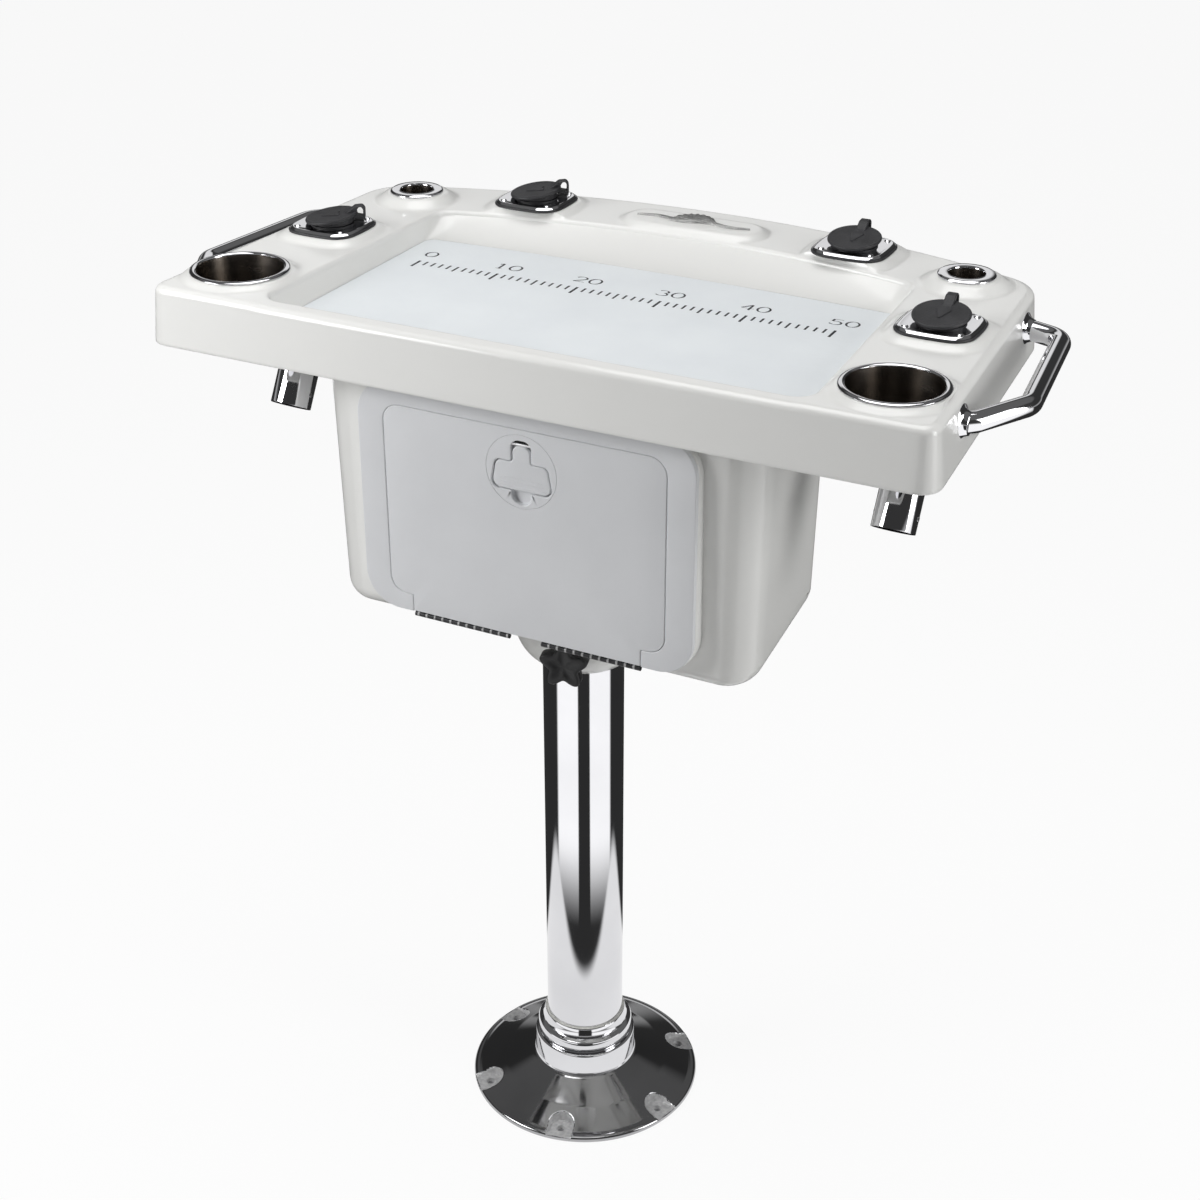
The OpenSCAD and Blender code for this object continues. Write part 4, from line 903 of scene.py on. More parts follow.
def latch_circle(r, loop):
    """Circle round the latch whose points lie on the rays from its middle to the points of an outline."""
    rays = np.arctan2(loop[:, 1] - LATCH_Z, loop[:, 0])
    return ellipse(r, r, rays) + [0, LATCH_Z]


inner_edge = latch_circle(41.0, door_loop)
outer_edge = latch_circle(41.25, door_loop)
door_rings = [at_z(inner_edge, 134.9), at_z(inner_edge, FACE - 0.25), at_z(outer_edge, FACE)]
door_rings += [at_z(between(outer_edge, moved(door_loop, -1.2), t), FACE) for t in (0.15, 0.4, 0.7, 1.0)]
door_rings += [at_z(moved(door_loop, d), FACE - 1.2 + h) for d, h in arc(1.2, 5)[::-1][1:]]
door_rings.append(at_z(door_loop, DOOR_BACK))
door_rings += [at_z(between(inner_edge, door_loop, t), DOOR_BACK - 0.05) for t in (0.6, 0.2)]
ring_mesh("door_skin", upright(door_rings), hatch_grey, "door", ["hatch_door"], "hatch_plastic", closed=True)

tray = rect_loop(154.5, 724.5, 927, 11, 600)
tray_hole = latch_circle(38.8, tray)
tray_rings = [at_z(tray_hole, DOOR_BACK), at_z(tray, DOOR_BACK), at_z(tray, 129.5),
              at_z(moved(tray, -1.5), 128.0), at_z(tray_hole, 128.0)]
ring_mesh("door_tray", upright(tray_rings), hatch_grey, "door", ["hatch_door"], "hatch_plastic", closed=True)
print("door", np.ptp(door_loop, axis=0).round(1), "mm,", len(door_loop), "points round it")

# %% [markdown]
# ## Latch disc
# The round latch holds a T-shaped pull in a recess, with a finger pocket below and a slot through the disc at
# the hinge pin. Cutting the recess with a boolean would leave a sharp edge. Instead the recess's outline is
# worked out first, as the pull's outline grown by a gap and joined to the circle of the pocket, and the
# disc's rings run from its rim to that outline and down into it over a soft edge. The slot is not cut: a
# thin black plate on the recess floor above the pull is painted shade for its dark hole.

# %% Latch disc
DISC_R, RECESS_FLOOR, RECESS_ROUND = 40.8, 133.2, 1.5
POCKET_Y, POCKET_R = -25.5, 12.0
MIDDLE = np.array([0, LATCH_Z])


def pull_loop(grow, top, count=700):
    """Outline of the pull about the latch centre, grown sideways, with its stem ending at top."""
    w, s, low, high = 35.5 + grow, 10.5 + grow, -22 - grow, 9 + grow
    right = [(0, low), (w, low), (w - 6, high), (s, high), (s, top)]
    left = [(-x, y) for x, y in right[:0:-1]]
    stem_r, inner_r = min(s - 0.6, 9.0), max(4 - grow, 1)
    return even(corner_loop(right + left, [0, 9, 7, inner_r, stem_r, stem_r, inner_r, 7, 9], 12), count)


def joined(loop, cx, cy, r):
    """Outline pushed out to a circle wherever a ray from the latch centre meets the circle farther out. The
    ray meets it at the circle's distance along the ray plus the root of r squared minus aside squared."""
    d = np.hypot(loop[:, 0], loop[:, 1])
    u = loop / d[:, None]
    along = u[:, 0] * cx + u[:, 1] * cy
    aside = cx * cx + cy * cy - along ** 2
    hit = (aside < r * r) & (along > 0)
    reach = np.where(hit, along + np.sqrt(np.maximum(r * r - aside, 0)), 0)
    return u * np.maximum(d, reach)[:, None]


recess = joined(pull_loop(1.0, 34.0), 0, POCKET_Y, POCKET_R)
rays = np.arctan2(recess[:, 1], recess[:, 0])
disc = [at_z(ellipse(r, r, rays) + MIDDLE, z) for r, z in
        ((38.5, 125.0), (38.5, 135.2), (DISC_R, 135.3), (DISC_R, FACE - 0.3), (DISC_R - 0.3, FACE))]
rim = ellipse(DISC_R - 0.3, DISC_R - 0.3, rays)
disc += [at_z(between(rim, moved(recess, RECESS_ROUND), t) + MIDDLE, FACE) for t in (0.3, 0.7)]
disc += [at_z(moved(recess, -d) + MIDDLE, FACE - RECESS_ROUND + h) for d, h in arc(RECESS_ROUND, 6)[::-1]]
disc.append(at_z(recess + MIDDLE, RECESS_FLOOR))
disc += [at_z(moved(recess, d) + MIDDLE, RECESS_FLOOR - h) for d, h in arc(1.2, 4)[1:]]
ring_mesh("latch_disc_skin", upright(disc), hatch_grey, "latch", ["latch_disc"], "hatch_plastic")
revolve("latch_spindle", [(6.0, 0), (6.0, 15.5), (5.2, 16.2), (0.3, 16.2)], satin, "latch", ["latch_disc"],
        "satin", centre=(0, -125.5, LATCH_Z), turn=[[1, 0, 0], [0, 0, 1], [0, -1, 0]], count=48)

# Thin black plate on the recess floor above the pull: painted shade for the dark slot at the hinge pin.
slot_shade_shape = [(-10.6, 28.6), (10.6, 28.6), (10.6, 33.6), (-10.6, 33.6)]
slot = even(corner_loop(slot_shade_shape, [0.5, 0.5, 4.5, 4.5], 8), 80) + MIDDLE
ring_mesh("latch_slot_painted_shade", upright([at_z(slot, 132.9), at_z(slot, 133.35)]), knob_black, "latch", (),
          "hatch_plastic")
print("latch disc", 2 * DISC_R, "mm,", len(recess), "points round its recess")

# %% [markdown]
# ## Latch pull
# The pull lies flush in the recess and folds out on its pin. Its outline is the one that the recess was made
# from, so the gap between them is even all round. Three ribs give the finger a hold, and they could be a bump
# in the material. As thin bars they also show from the side.

# %% Latch pull
PULL_BACK, PULL_FACE = 133.0, 137.5

pull = pull_loop(0.0, 28.0)
pull_rings = [at_z(moved(pull, d) + MIDDLE, PULL_BACK + 1.0 - h) for d, h in arc(1.0, 4)[::-1]]
pull_rings += [at_z(moved(pull, d) + MIDDLE, PULL_FACE - 1.8 + h) for d, h in arc(1.8, 7)]
ring_mesh("pull_skin", upright(pull_rings), hatch_grey, "pull", ["latch_pull"], "hatch_plastic")
for k, z in enumerate((878.0, 873.5, 869.0)):
    rib = rect_loop(24.0 + 2 * k, z - 0.5, z + 0.5, 0.45, 80)
    bar = [at_z(rib, PULL_FACE - 0.1), at_z(rib, PULL_FACE + 0.25)]
    bar.append(at_z(moved(rib, -0.25), PULL_FACE + 0.45))
    ring_mesh(f"pull_rib_{k}", upright(bar), hatch_grey, "pull", (), "hatch_plastic")
print("pull", np.ptp(pull, axis=0).round(1), "mm")

# %% [markdown]
# ## Cast base
# The base is cast and polished, with six pockets for the bolts. A turned cone with cut pockets would need
# booleans. A polar grid does it with one formula: the height over the floor follows the cone, drops to a flat
# floor inside each pocket and to a hole in each floor. Every place is first brought next to the nearest bolt,
# so one pocket serves for six. The pockets stay as cast, so their faces get a duller material.

# %% Cast base
BOLT_R, BOLT_TURN, NOTCH_R, BASE_HIGH = 124.0, 17.0, 15.5, 37.0
TUBE_HOLE_R = 49.2
CONE_R = [63.5, 66, 100, 131, 134.5, 137, 139.6, 140.7, 141.0]
CONE_Z = [BASE_HIGH, 35.6, 20.4, 8.3, 7.6, 7.7, 6.8, 5.4, 4.0]
pocket_steel = surface("cast_pocket", (0.50, 0.50, 0.51), (0.74, 0.74, 0.74), 0.5,
                       metal=0.35, scale=220.0, grain=0.5)


def from_bolt(x, y):
    """Place seen from the nearest bolt, outward and aside: the angle is taken modulo 60 degrees, so that it
    lies within 30 degrees of a bolt, and the radius of the bolts is taken off."""
    r = np.hypot(x, y)
    local = np.radians((np.degrees(np.arctan2(y, x)) + BOLT_TURN + 30) % 60 - 30)
    return r * np.cos(local) - BOLT_R, r * np.sin(local)


def pocket_distance(u, v):
    """Distance from a pocket's middle: from the bolt on the inner side, straight across on the outer side."""
    return np.where(u > 0, np.abs(v), np.hypot(u, v))


def base_top(x, y):
    """Height of the base: the cone, minus the pockets, minus the bolt holes."""
    cone = np.interp(np.hypot(x, y), CONE_R, CONE_Z)
    u, v = from_bolt(x, y)
    inside = 1 - step(pocket_distance(u, v), NOTCH_R - 1.6, NOTCH_R + 0.8)
    hole = 1 - step(np.hypot(u, v), 4.3, 5.0)
    return between(between(cone, np.minimum(cone, 5.2), inside), 0.6, hole)


angles = around(1080)
base_rings = []
for r in [*np.linspace(63.5, 104, 22), *np.linspace(104.8, 140, 56), 140.6, 140.9, 141.0]:
    loop = ellipse(r, r, angles)
    base_rings.append(at_z(loop, base_top(loop[:, 0], loop[:, 1])))
for r, z in ((141.0, 2.0), (140.0, 0.4), (138.0, 0.0), (TUBE_HOLE_R, 0.0), (TUBE_HOLE_R, BASE_HIGH)):
    base_rings.append(at_z(ellipse(r, r, angles), z))
base_rings = np.asarray(base_rings)
middle = base_rings.reshape(-1, 3)[ring_faces(*base_rings.shape[:2], closed=True)].mean(1)
u, v = from_bolt(middle[:, 0], middle[:, 1])
pocket = (pocket_distance(u, v) < NOTCH_R + 0.3) & (middle[:, 2] > 1.5) & (u < NOTCH_R)
# The cone gets the darker chrome, which is painted dark reflection; the pockets get the duller cast finish.
ring_mesh("base_cone", base_rings, [dark_painted_base_chrome, pocket_steel], "pedestal", ["base_flange"], "polished",
          closed=True, sharp=40, face_mats=pocket)
print(int(pocket.sum()), "of", len(pocket), "faces lie in the base pockets")

# %% [markdown]
# ## Collar and tube
# The collar is turned in steps and beads, and the tube stands in it. Both are sections turned about the
# pedestal's axis. The small radii between the steps matter more than the steps: polished metal shows each of
# them as a bright line.

# %% Collar and tube
collar = [(TUBE_HOLE_R, BASE_HIGH), (62.4, BASE_HIGH), (63.2, 37.6), (62.6, 39.0), (61.8, 40.5),
          (61.7, 64.5), (61.0, 66.6), (59.4, 67.4), (57.4, 67.6), (57.0, 68.4), (57.2, 69.4), (58.0, 71.0),
          (58.2, 73.0), (58.1, 82.5), (57.0, 84.6), (54.4, 86.0), (52.0, 86.8), (51.6, 87.6), (52.0, 88.6),
          (52.2, 89.6), (51.6, 91.0), (50.4, 95.0), (49.6, 99.4), (TUBE_HOLE_R, 100.0)]
PEDESTAL_R, PEDESTAL_WALL, PEDESTAL_LOW, PEDESTAL_HIGH = 46.5, 3.0, 12, 742
r, bore_r = PEDESTAL_R, PEDESTAL_R - PEDESTAL_WALL
tube = [(bore_r, PEDESTAL_LOW), (r, PEDESTAL_LOW), (r, 100), (r, 400), (r, PEDESTAL_HIGH - 0.8),
        (r - 0.8, PEDESTAL_HIGH), (bore_r, PEDESTAL_HIGH)]
revolve("base_collar", collar, chrome, "pedestal", ["base_flange"], "polished", closed=True, count=160)
revolve("tube_skin", tube, chrome, "pedestal", ["pedestal_tube"], "polished", closed=True, count=200)
print("tube", 2 * PEDESTAL_R, "mm wide,", PEDESTAL_HIGH - PEDESTAL_LOW, "mm long")

# %% [markdown]
# ## Cups and rings
# The cups are spun from sheet steel: the wide ones for drinks with a rolled rim, the small ones for tools
# with a flat rim. Anything spun is best made as a section that is turned about its axis. The faces of the
# inner wall have their own material: rougher than the rims, and coloured dark brown as painted shade and
# reflection inside the cup.

# %% Cups and rings
WALL = 1.2
CUP_COUNT = 144
# Rows of the inner wall; their steel is coloured dark brown as painted shade and reflection, and is rougher
# than the rims.
SHADED_INNER_ROWS = range(15, 20)
painted_shade_inside_steel = surface("cup_inside_painted_shade", (0.13, 0.115, 0.10), (0.20, 0.18, 0.16), 0.26,
                       metal=1.0, scale=25.0, grain=0.03, stretch=(1, 1, 4))


def cup_profile(mouth, rim, depth, drain, flat):
    """Section of a cup with a rolled or a flat rim: from the drain under the floor, up outside, over the rim
    and down inside."""
    r = mouth / 2
    out = [(drain, -depth), (r - 5, -depth), (r - 1.5, -depth + 1), (r + 0.2, -depth + 4), (r + WALL, -0.4),
           (r + WALL + 0.6, 0)]
    if flat:
        out += [(rim - 0.6, 0.0), (rim - 0.1, 0.3), (rim, 0.9), (rim - 0.2, 1.5), (rim - 2.0, 2.9),
                (rim - 2.4, 3.0), (r + 1.4, 3.0), (r + 0.7, 2.8), (r + 0.2, 2.2), (r, 1.2)]
    else:
        out += [(rim - 1.0, 0.0), (rim - 0.2, 0.5), (rim, 1.1), (rim - 0.5, 1.9), (rim - 1.8, 2.6),
                (rim - 3.6, 3.0), (r + 2.8, 3.0), (r + 1.2, 2.7), (r + 0.3, 1.9), (r, 0.8)]
    out += [(r - 0.8, -depth + 6), (r - 3, -depth + 2.2), (r - 6, -depth + WALL), (drain, -depth + WALL)]
    return out


CUPS = {"drink": (cup_profile(94, 54.25, 78, 4, False), DRINK, 1029.5, "polished"),
        "tool": (cup_profile(39, 31.5, 66, 5, True), TOOL, 1035.0, "satin")}
for side, s in (("left", -1), ("right", 1)):
    for kind, (profile, (x, y), seat, slot_name) in CUPS.items():
        face_mats = np.repeat([int(k in SHADED_INNER_ROWS) for k in range(len(profile))], CUP_COUNT)
        revolve(f"{kind}_cup_{side}", profile, [chrome, painted_shade_inside_steel], "head", [f"{kind}_holder_{side}"],
                slot_name, centre=(s * x, y, seat), closed=True, count=CUP_COUNT, face_mats=face_mats)
print(2 * len(CUPS), "cups of", len(CUPS["drink"][0]), "section points")

# %% [markdown]
# ## Rod holders
# Each rod holder has a cast plate with soft corners on a black gasket. Its outline is neither a square nor
# a circle: the sides bulge a little. The loop is drawn from four bulging sides and four quarter arcs, then
# smoothed, and its edge falls off in a quarter wave, so it catches a long bright line.

# %% Rod holders
BULGE = 1.5


def shield_loop(side, r, count=320):
    """Rounded square: each side is a parabola that bulges by 1.5 mm, each corner an arc."""
    h = side / 2
    s = np.linspace(-0.5, 0.5, 13)[:, None]
    q = np.radians(np.linspace(8, 82, 10))[:, None]
    out = []
    for d in np.array([[1.0, 0], [0, 1], [-1, 0], [0, -1]]):
        e = np.array([-d[1], d[0]])
        out.append(d * (h + BULGE * (1 - 2 * s ** 2)) + e * s * (side - 2 * r))
        out.append((d + e) * (h - r) + (r + BULGE / 2) * (d * np.cos(q) + e * np.sin(q)))
    return softened(even(np.vstack(out), count), 4)


for name, (x, y) in RODS.items():
    pad = shield_loop(83, 23.5) + [x, y]
    seat = shield_loop(80, 22) + [x, y]
    start = math.atan2(seat[0, 1] - y, seat[0, 0] - x)
    bore = ellipse(23.2, 26.8, start + around(len(seat))) + [x, y - 2.0]
    rings = [at_z(bore, 1031.0), at_z(pad, 1031.0), at_z(moved(pad, 0.4), 1032.2),
             at_z(moved(pad, -0.2), 1033.3), at_z(bore, 1033.4)]
    ring_mesh(f"gasket_{name}", rings, rubber, "head", [f"rod_gasket_{name}"], "rubber_black", closed=True)
    rings = [at_z(bore, 1033.5), at_z(seat, 1033.5), at_z(moved(seat, 0.2), 1034.0)]
    rings += [at_z(moved(seat, 0.2 - 4.0 * t), 1034.0 + 2.3 * math.sin(math.pi / 2 * t))
              for t in np.linspace(0.12, 1, 8)]
    rings += [at_z(moved(seat, -5.2), 1036.25), at_z(moved(seat, -6.4), 1036.0), at_z(bore, 1036.0)]
    ring_mesh(f"plate_{name}", rings, chrome, "head", [f"rod_holder_{name}"], "polished", closed=True)
print(len(RODS), "plates,", np.ptp(seat, axis=0).round(1), "mm")

# %% [markdown]
# ## Rod tubes
# Below each plate a tube leans by 30 degrees and ends open. A cylinder could be turned and cut level by a
# boolean where it meets the plate. Instead its upper edge is level from the start: the place of each point
# along the axis grows with the sine of its angle, by the tube's radius times the tangent of the lean.

# %% Rod tubes
LEAN = math.radians(30)
LEAN_TURN = np.array([[1, 0, 0], [0, math.cos(LEAN), math.sin(LEAN)], [0, -math.sin(LEAN), math.cos(LEAN)]])
TUBE_R, BORE_R, TUBE_LOW = 23.0, 21.5, -214.0
PLATE_TOP = 1036.0

t = around(96)
outside = ellipse(TUBE_R, TUBE_R, t)
inside = ellipse(BORE_R, BORE_R, t)
level = -3.5 + TUBE_R * math.tan(LEAN) * np.sin(t)
stack = [at_z(inside, TUBE_LOW), at_z(outside * 0.99, TUBE_LOW)]
stack += [at_z(outside, between(TUBE_LOW + 1, level, k / 6)) for k in range(7)]
stack.append(at_z(inside, level))
leaning = np.asarray(stack) @ LEAN_TURN.T
for name, (x, y) in RODS.items():
    ring_mesh(f"tube_{name}", leaning + [x, y, PLATE_TOP], chrome, "head", [f"rod_holder_{name}"],
              "polished", closed=True)
print("rod tubes", 2 * BORE_R, "mm inside, down to", round(float(leaning[..., 2].min() + PLATE_TOP)), "mm")

# %% [markdown]
# ## Cap discs
# A rubber cap closes each rod holder. Its disc leans a little, as if not quite pushed in, and carries a
# raised arrow. They could be tilted as objects, but a piece stays at the origin. So disc, plug and arrow are
# ring stacks that are tilted together by the formula of a turn. The two left caps are turned inward, so each
# cap is made about its own axis and then turned and set down.

# %% Cap discs
CAP_TILT = math.radians(8.5)
CAP_R, PLUG_R = 30.0, 24.5
LEFT_CAP_TURN = -60


def leaned(rings):
    """Rings of a cap disc turned by the tilt about the front edge of the disc, which lies 30 mm from its
    middle, and lifted by 1.5 mm."""
    r = np.asarray(rings, float)
    y, z = r[..., 1] + CAP_R, r[..., 2]
    return np.stack([r[..., 0], y * math.cos(CAP_TILT) - z * math.sin(CAP_TILT) - CAP_R,
                     y * math.sin(CAP_TILT) + z * math.cos(CAP_TILT) + 1.5], -1)


def set_down(rings, x, y):
    """Rings of a cap turned about its axis, if it is a left one, and moved to its rod holder."""
    q = math.radians(LEFT_CAP_TURN if x < 0 else 0)
    spin = np.array([[math.cos(q), -math.sin(q), 0], [math.sin(q), math.cos(q), 0], [0, 0, 1]])
    return np.asarray(rings, float) @ spin.T + [x, y, PLATE_TOP]


disc_shape = [(0.4, 0), (28.4, 0), (29.3, 0.4), (29.9, 1.2), (30, 2.0), (29.9, 2.8), (29.4, 3.5),
              (28.6, 3.8), (27.6, 3.8), (26.6, 3.45), (25.6, 3.3), (12, 3.3), (0.4, 3.3)]
cap_disc = leaned(turned(disc_shape, 120))
plug = ellipse(PLUG_R, PLUG_R, around(120))
plug_top = 2.5 + (plug[:, 1] + CAP_R) * math.tan(CAP_TILT)
cap_plug = [at_z(moved(plug, -0.6), 1.5), at_z(plug, 2.1), at_z(plug, plug_top)]
arrow = even(corner_loop([(0, -14), (9.5, 12), (0, 8), (-9.5, 12)], [1.5, 2.5, 1.5, 2.5], 6), 90)
cap_arrow = leaned([at_z(arrow, 3.1), at_z(arrow, 4.0), at_z(moved(arrow, -0.6), 4.4)])
print("cap discs", 2 * CAP_R, "mm wide, leaning by", round(math.degrees(CAP_TILT), 1), "degrees")

# %% [markdown]
# ## Cap straps
# A looped strap hinges each cap. From the side it is an outline with a hole in it, given a width. A curve
# with a hole would fill its faces with long thin triangles. Here the outer and the inner outline are paired
# by the angle about the middle of the hole, so that both faces and both walls close as one stack of rings.
# The four parts of a cap then go to each rod holder and ride on the body of that cap.

# %% Cap straps
HALF_WIDTH = 5.5
HOLE_MIDDLE = np.array([31.9, 10.4])
STRAP_FOOT = np.array([28, 1.6])


def on_edge(loop, x):
    """Outline in Y and Z as a ring at x, lifted by the height of the disc."""
    return np.column_stack([np.full(len(loop), x), loop[:, 0], loop[:, 1] + 3.3])


outer_shape = [(8, 6.0), (18, 9.6), (26.5, 16.2), (35.5, 17.0), (38.3, 13), (38.3, 1.8), (34.7, 1.8),
               STRAP_FOOT]
inner_shape = [(29.4, 6.0), (27.8, 10.6), (31.0, 15.2), (34.2, 15.4), (35.9, 12), (35.9, 4.8)]
outer = even(corner_loop(outer_shape, [1, 8, 5, 4, 4, 1.7, 1.7, 1], 8), 160)
outer = np.roll(outer, -np.argmin(np.hypot(*(outer - STRAP_FOOT).T)), 0)
inner = even(corner_loop(inner_shape, [1, 1.5, 2, 2, 2, 1], 6), 160)
outer_angle = np.arctan2(*(outer - HOLE_MIDDLE).T[::-1])
inner_angle = np.arctan2(*(inner - HOLE_MIDDLE).T[::-1])
apart = np.abs((inner_angle[None, :] - outer_angle[:, None] + math.pi) % (2 * math.pi) - math.pi)
near = inner[np.argmin(apart, 1)]
w = HALF_WIDTH
strap = [on_edge(outer, -w + 0.8), on_edge(outer, w - 0.8), on_edge(moved(outer, -0.7), w),
         on_edge(moved(near, 0.5), w), on_edge(near, w - 0.6), on_edge(near, -w + 0.6),
         on_edge(moved(near, 0.5), -w), on_edge(moved(outer, -0.7), -w)]
CAP_PARTS = {"disc": cap_disc, "plug": cap_plug, "arrow": cap_arrow, "strap": strap}
for name, (x, y) in RODS.items():
    for part, rings in CAP_PARTS.items():
        nodes = [f"rod_cap_{name}"] if part == "disc" else []
        ring_mesh(f"cap_{name}_{part}", set_down(rings, x, y), rubber, f"cap_{name}", nodes, "rubber_black",
                  closed=part == "strap")
print(len(RODS), "caps of", len(CAP_PARTS), "parts, straps", 2 * HALF_WIDTH, "mm wide")

# %% [markdown]
# ## Handles
# Each grip is bent from round steel bar and ends in flared feet against the skirt. A curve with a bevel would
# do. A section carried along the path by numpy does the same and lets the bends be true arcs of 26 mm
# between straight legs. The feet are turned profiles, laid on their side by a matrix that swaps the axes.

# %% Handles
HANDLE_Z, GRIP_R, BEND_R = 998.0, 10.9, 26
FLARE = [(0.3, 0), (18, 0), (18.3, 0.8), (17.6, 1.8), (15.2, 3.2), (13.2, 5.2), (12.2, 7.4), (11.4, 9.5),
         (0.3, 9.5)]
STUD = [(0.3, -16), (4, -16), (4, 0), (0.3, 0)]


def sweep(path, radius, count=40):
    """Rings of a tube along a path in a level plane: at each point a circle across the path's direction."""
    p = np.asarray(path, float)
    d = np.gradient(p, axis=0)
    d /= np.linalg.norm(d, axis=1, keepdims=True)
    side = np.cross(d, [0, 0, 1.0])
    side /= np.linalg.norm(side, axis=1, keepdims=True)
    up = np.cross(side, d)
    t = around(count)[None, :, None]
    return p[:, None] + radius * (np.cos(t) * side[:, None] + np.sin(t) * up[:, None])


def seat_x(y):
    """Distance of a handle foot's seat from the centre line: the skirt tapers by 26 mm over 439 mm."""
    return 437 - 26 * (y + 159) / 439.0 + 6 * 27 / 64.0 - 2


front, rear = np.array([seat_x(-68.0), -68.0]), np.array([seat_x(199.0), 199.0])
corners = [front + [12, 7], (479, 2), (460, 186), rear + [12, -1.3]]
bends = corner_loop(corners, [0, BEND_R, BEND_R, 0], 16)
flat = np.vstack([front + [4, 1.5], bends, rear + [4, -0.3]])
for name, s in (("left", -1), ("right", 1)):
    node = [f"handle_{name}"]
    sideways = [[0, 0, s], [0, 1, 0], [-s, 0, 0]]
    path = at_z(flat * [s, 1], HANDLE_Z)
    ring_mesh(f"grip_{name}", sweep(path, GRIP_R), chrome, "head", node, "polished")
    for k, foot in enumerate((front, rear)):
        lie = {"centre": (foot[0] * s, foot[1], HANDLE_Z), "turn": sideways}
        revolve(f"foot_{name}_{k}", FLARE, chrome, "head", node, "polished", count=72, **lie)
        revolve(f"stud_{name}_{k}", STUD, satin, "head", node, "polished", count=24, **lie)
print("handles reach", round(float(flat[:, 0].max() + GRIP_R), 1), "mm from the centre line")

# %% [markdown]
# ## Clamp knob
# The knob that clamps the head to the tube is a five-lobed star of black plastic. Five cylinders joined to a
# disc would be stiff in shape. A radius that is a mean plus a cosine of five times the angle gives soft
# lobes at once, and the same loop, shrunk by an edge profile, rounds its front and back.

# %% Clamp knob
LOBES, KNOB_MEAN, KNOB_SWING = 5, 23, 5
BACK_R, FRONT_R = 2.6, 3.2

t = around(240)
radius = KNOB_MEAN + KNOB_SWING * np.cos(LOBES * t)
star = np.stack([radius * np.sin(t), radius * np.cos(t)], -1)
knob = [at_z(star * 0.3, 83.5), at_z(moved(star, -BACK_R), 83.5)]
knob += [at_z(moved(star, -BACK_R * (1 - math.sin(a))), 83.5 + BACK_R * (1 - math.cos(a)))
         for a in np.radians(np.linspace(20, 90, 5))]
knob += [at_z(moved(star, -FRONT_R * (1 - math.cos(a))), 96.3 + FRONT_R * math.sin(a))
         for a in np.radians(np.linspace(0, 90, 7))]
knob += [at_z(star * 0.52, 99.5), at_z(star * 0.46, 98.7), at_z(star * 0.04, 98.7)]
ring_mesh("knob_star", along_clamp(knob), knob_black, "clamp", ["clamp_knob"], "knob_black", sharp=50)
neck = turned([(4.1, 81), (9, 81), (9, 84), (4.1, 84)], 64)
ring_mesh("knob_neck", along_clamp(neck), knob_black, "clamp", ["clamp_knob"], "knob_black")
print("knob", 2 * (KNOB_MEAN + KNOB_SWING), "mm over its lobes")

# %% [markdown]
# ## Ornament shell
# A cast metal ornament sits on the long boss. Its middle is a ribbed shell, which could be sculpted. Here it
# is a fan: a grid over angle and radius whose height is a dome plus ribs, and whose rim is scalloped by the
# same wave. The flat underside is the same grid pressed down.

# %% Ornament shell
BOSS_Z = 1031.0
RIBS = 9
nickel = surface("satin_cast", (0.30, 0.30, 0.30), (0.46, 0.46, 0.45), 0.36,
                 metal=1.0, scale=160.0, grain=0.6)


def on_boss(top):
    """Closed skin from a grid of upper points: the grid, then the same grid pressed down to the boss."""
    low = top.copy()
    low[..., 2] = BOSS_Z
    return top, low


fan = np.radians(np.linspace(8, 172, 145))
share = np.linspace(0, 1, 26)[:, None]
beat = np.cos(2 * math.pi * RIBS * (fan - fan[0]) / (fan[-1] - fan[0]))
scallop = share * (0.97 + 0.03 * beat)
dome = 5.0 * np.sqrt(np.maximum(1 - share ** 2.4, 0)) * (0.5 + 0.5 * share ** 0.3)
height = BOSS_Z + 0.3 + dome + 0.8 * share * (0.5 + 0.5 * beat)
shell = np.stack([27 * scallop * np.cos(fan), 28 * scallop * np.sin(fan) - 6 + ORNAMENT_Y, height], -1)
top, low = on_boss(shell)
section = np.concatenate([top[1:], low[:0:-1]]).transpose(1, 0, 2)
ring_mesh("ornament_shell", section, nickel, "head", ["badge"], "polished", sharp=60)
print("shell with", RIBS, "ribs,", np.ptp(shell[..., 0]).round(1), "mm wide")

# %% [markdown]
# ## Ornament waves
# On either side of the shell a wave runs out to a tip. It could be a curve with a tapered bevel. Here its
# middle line sways like a fading sine, its half width shrinks in proportion to the way, and its height over
# that width is a half circle.

# %% Ornament waves
u = np.linspace(0, 1, 90)
across = np.linspace(-1, 1, 9)[:, None]
half = 4.2 * (1 - u) + 0.8
crest = 3.4 * np.sqrt(1 - across ** 2) * (1 - 0.5 * u)
for k, s in enumerate((1, -1)):
    line = np.stack([s * 70 * u, s * 4 * np.sin(np.radians(400) * u) * (1 - 0.5 * u)], -1)
    d = np.gradient(line, axis=0)
    n = np.stack([-d[:, 1], d[:, 0]], -1) / np.linalg.norm(d, axis=1, keepdims=True)
    plan = line + n * (across * half)[..., None] + [0, ORNAMENT_Y - 3]
    top, low = on_boss(np.concatenate([plan, (BOSS_Z + 0.4 + crest)[..., None]], -1))
    section = np.concatenate([top, low[::-1]]).transpose(1, 0, 2)
    ring_mesh(f"ornament_wave_{k}", section, nickel, "head", (), "polished", sharp=60)

# %% [markdown]
# ## Lamps
# The object stands under three soft lamps: a large one above for an even top light, a key from the front left
# that models the shapes, and a narrow one from the right that lights the side of the skirt. A single sun
# would be simpler, but soft boxes give the gentle shading of a product picture.

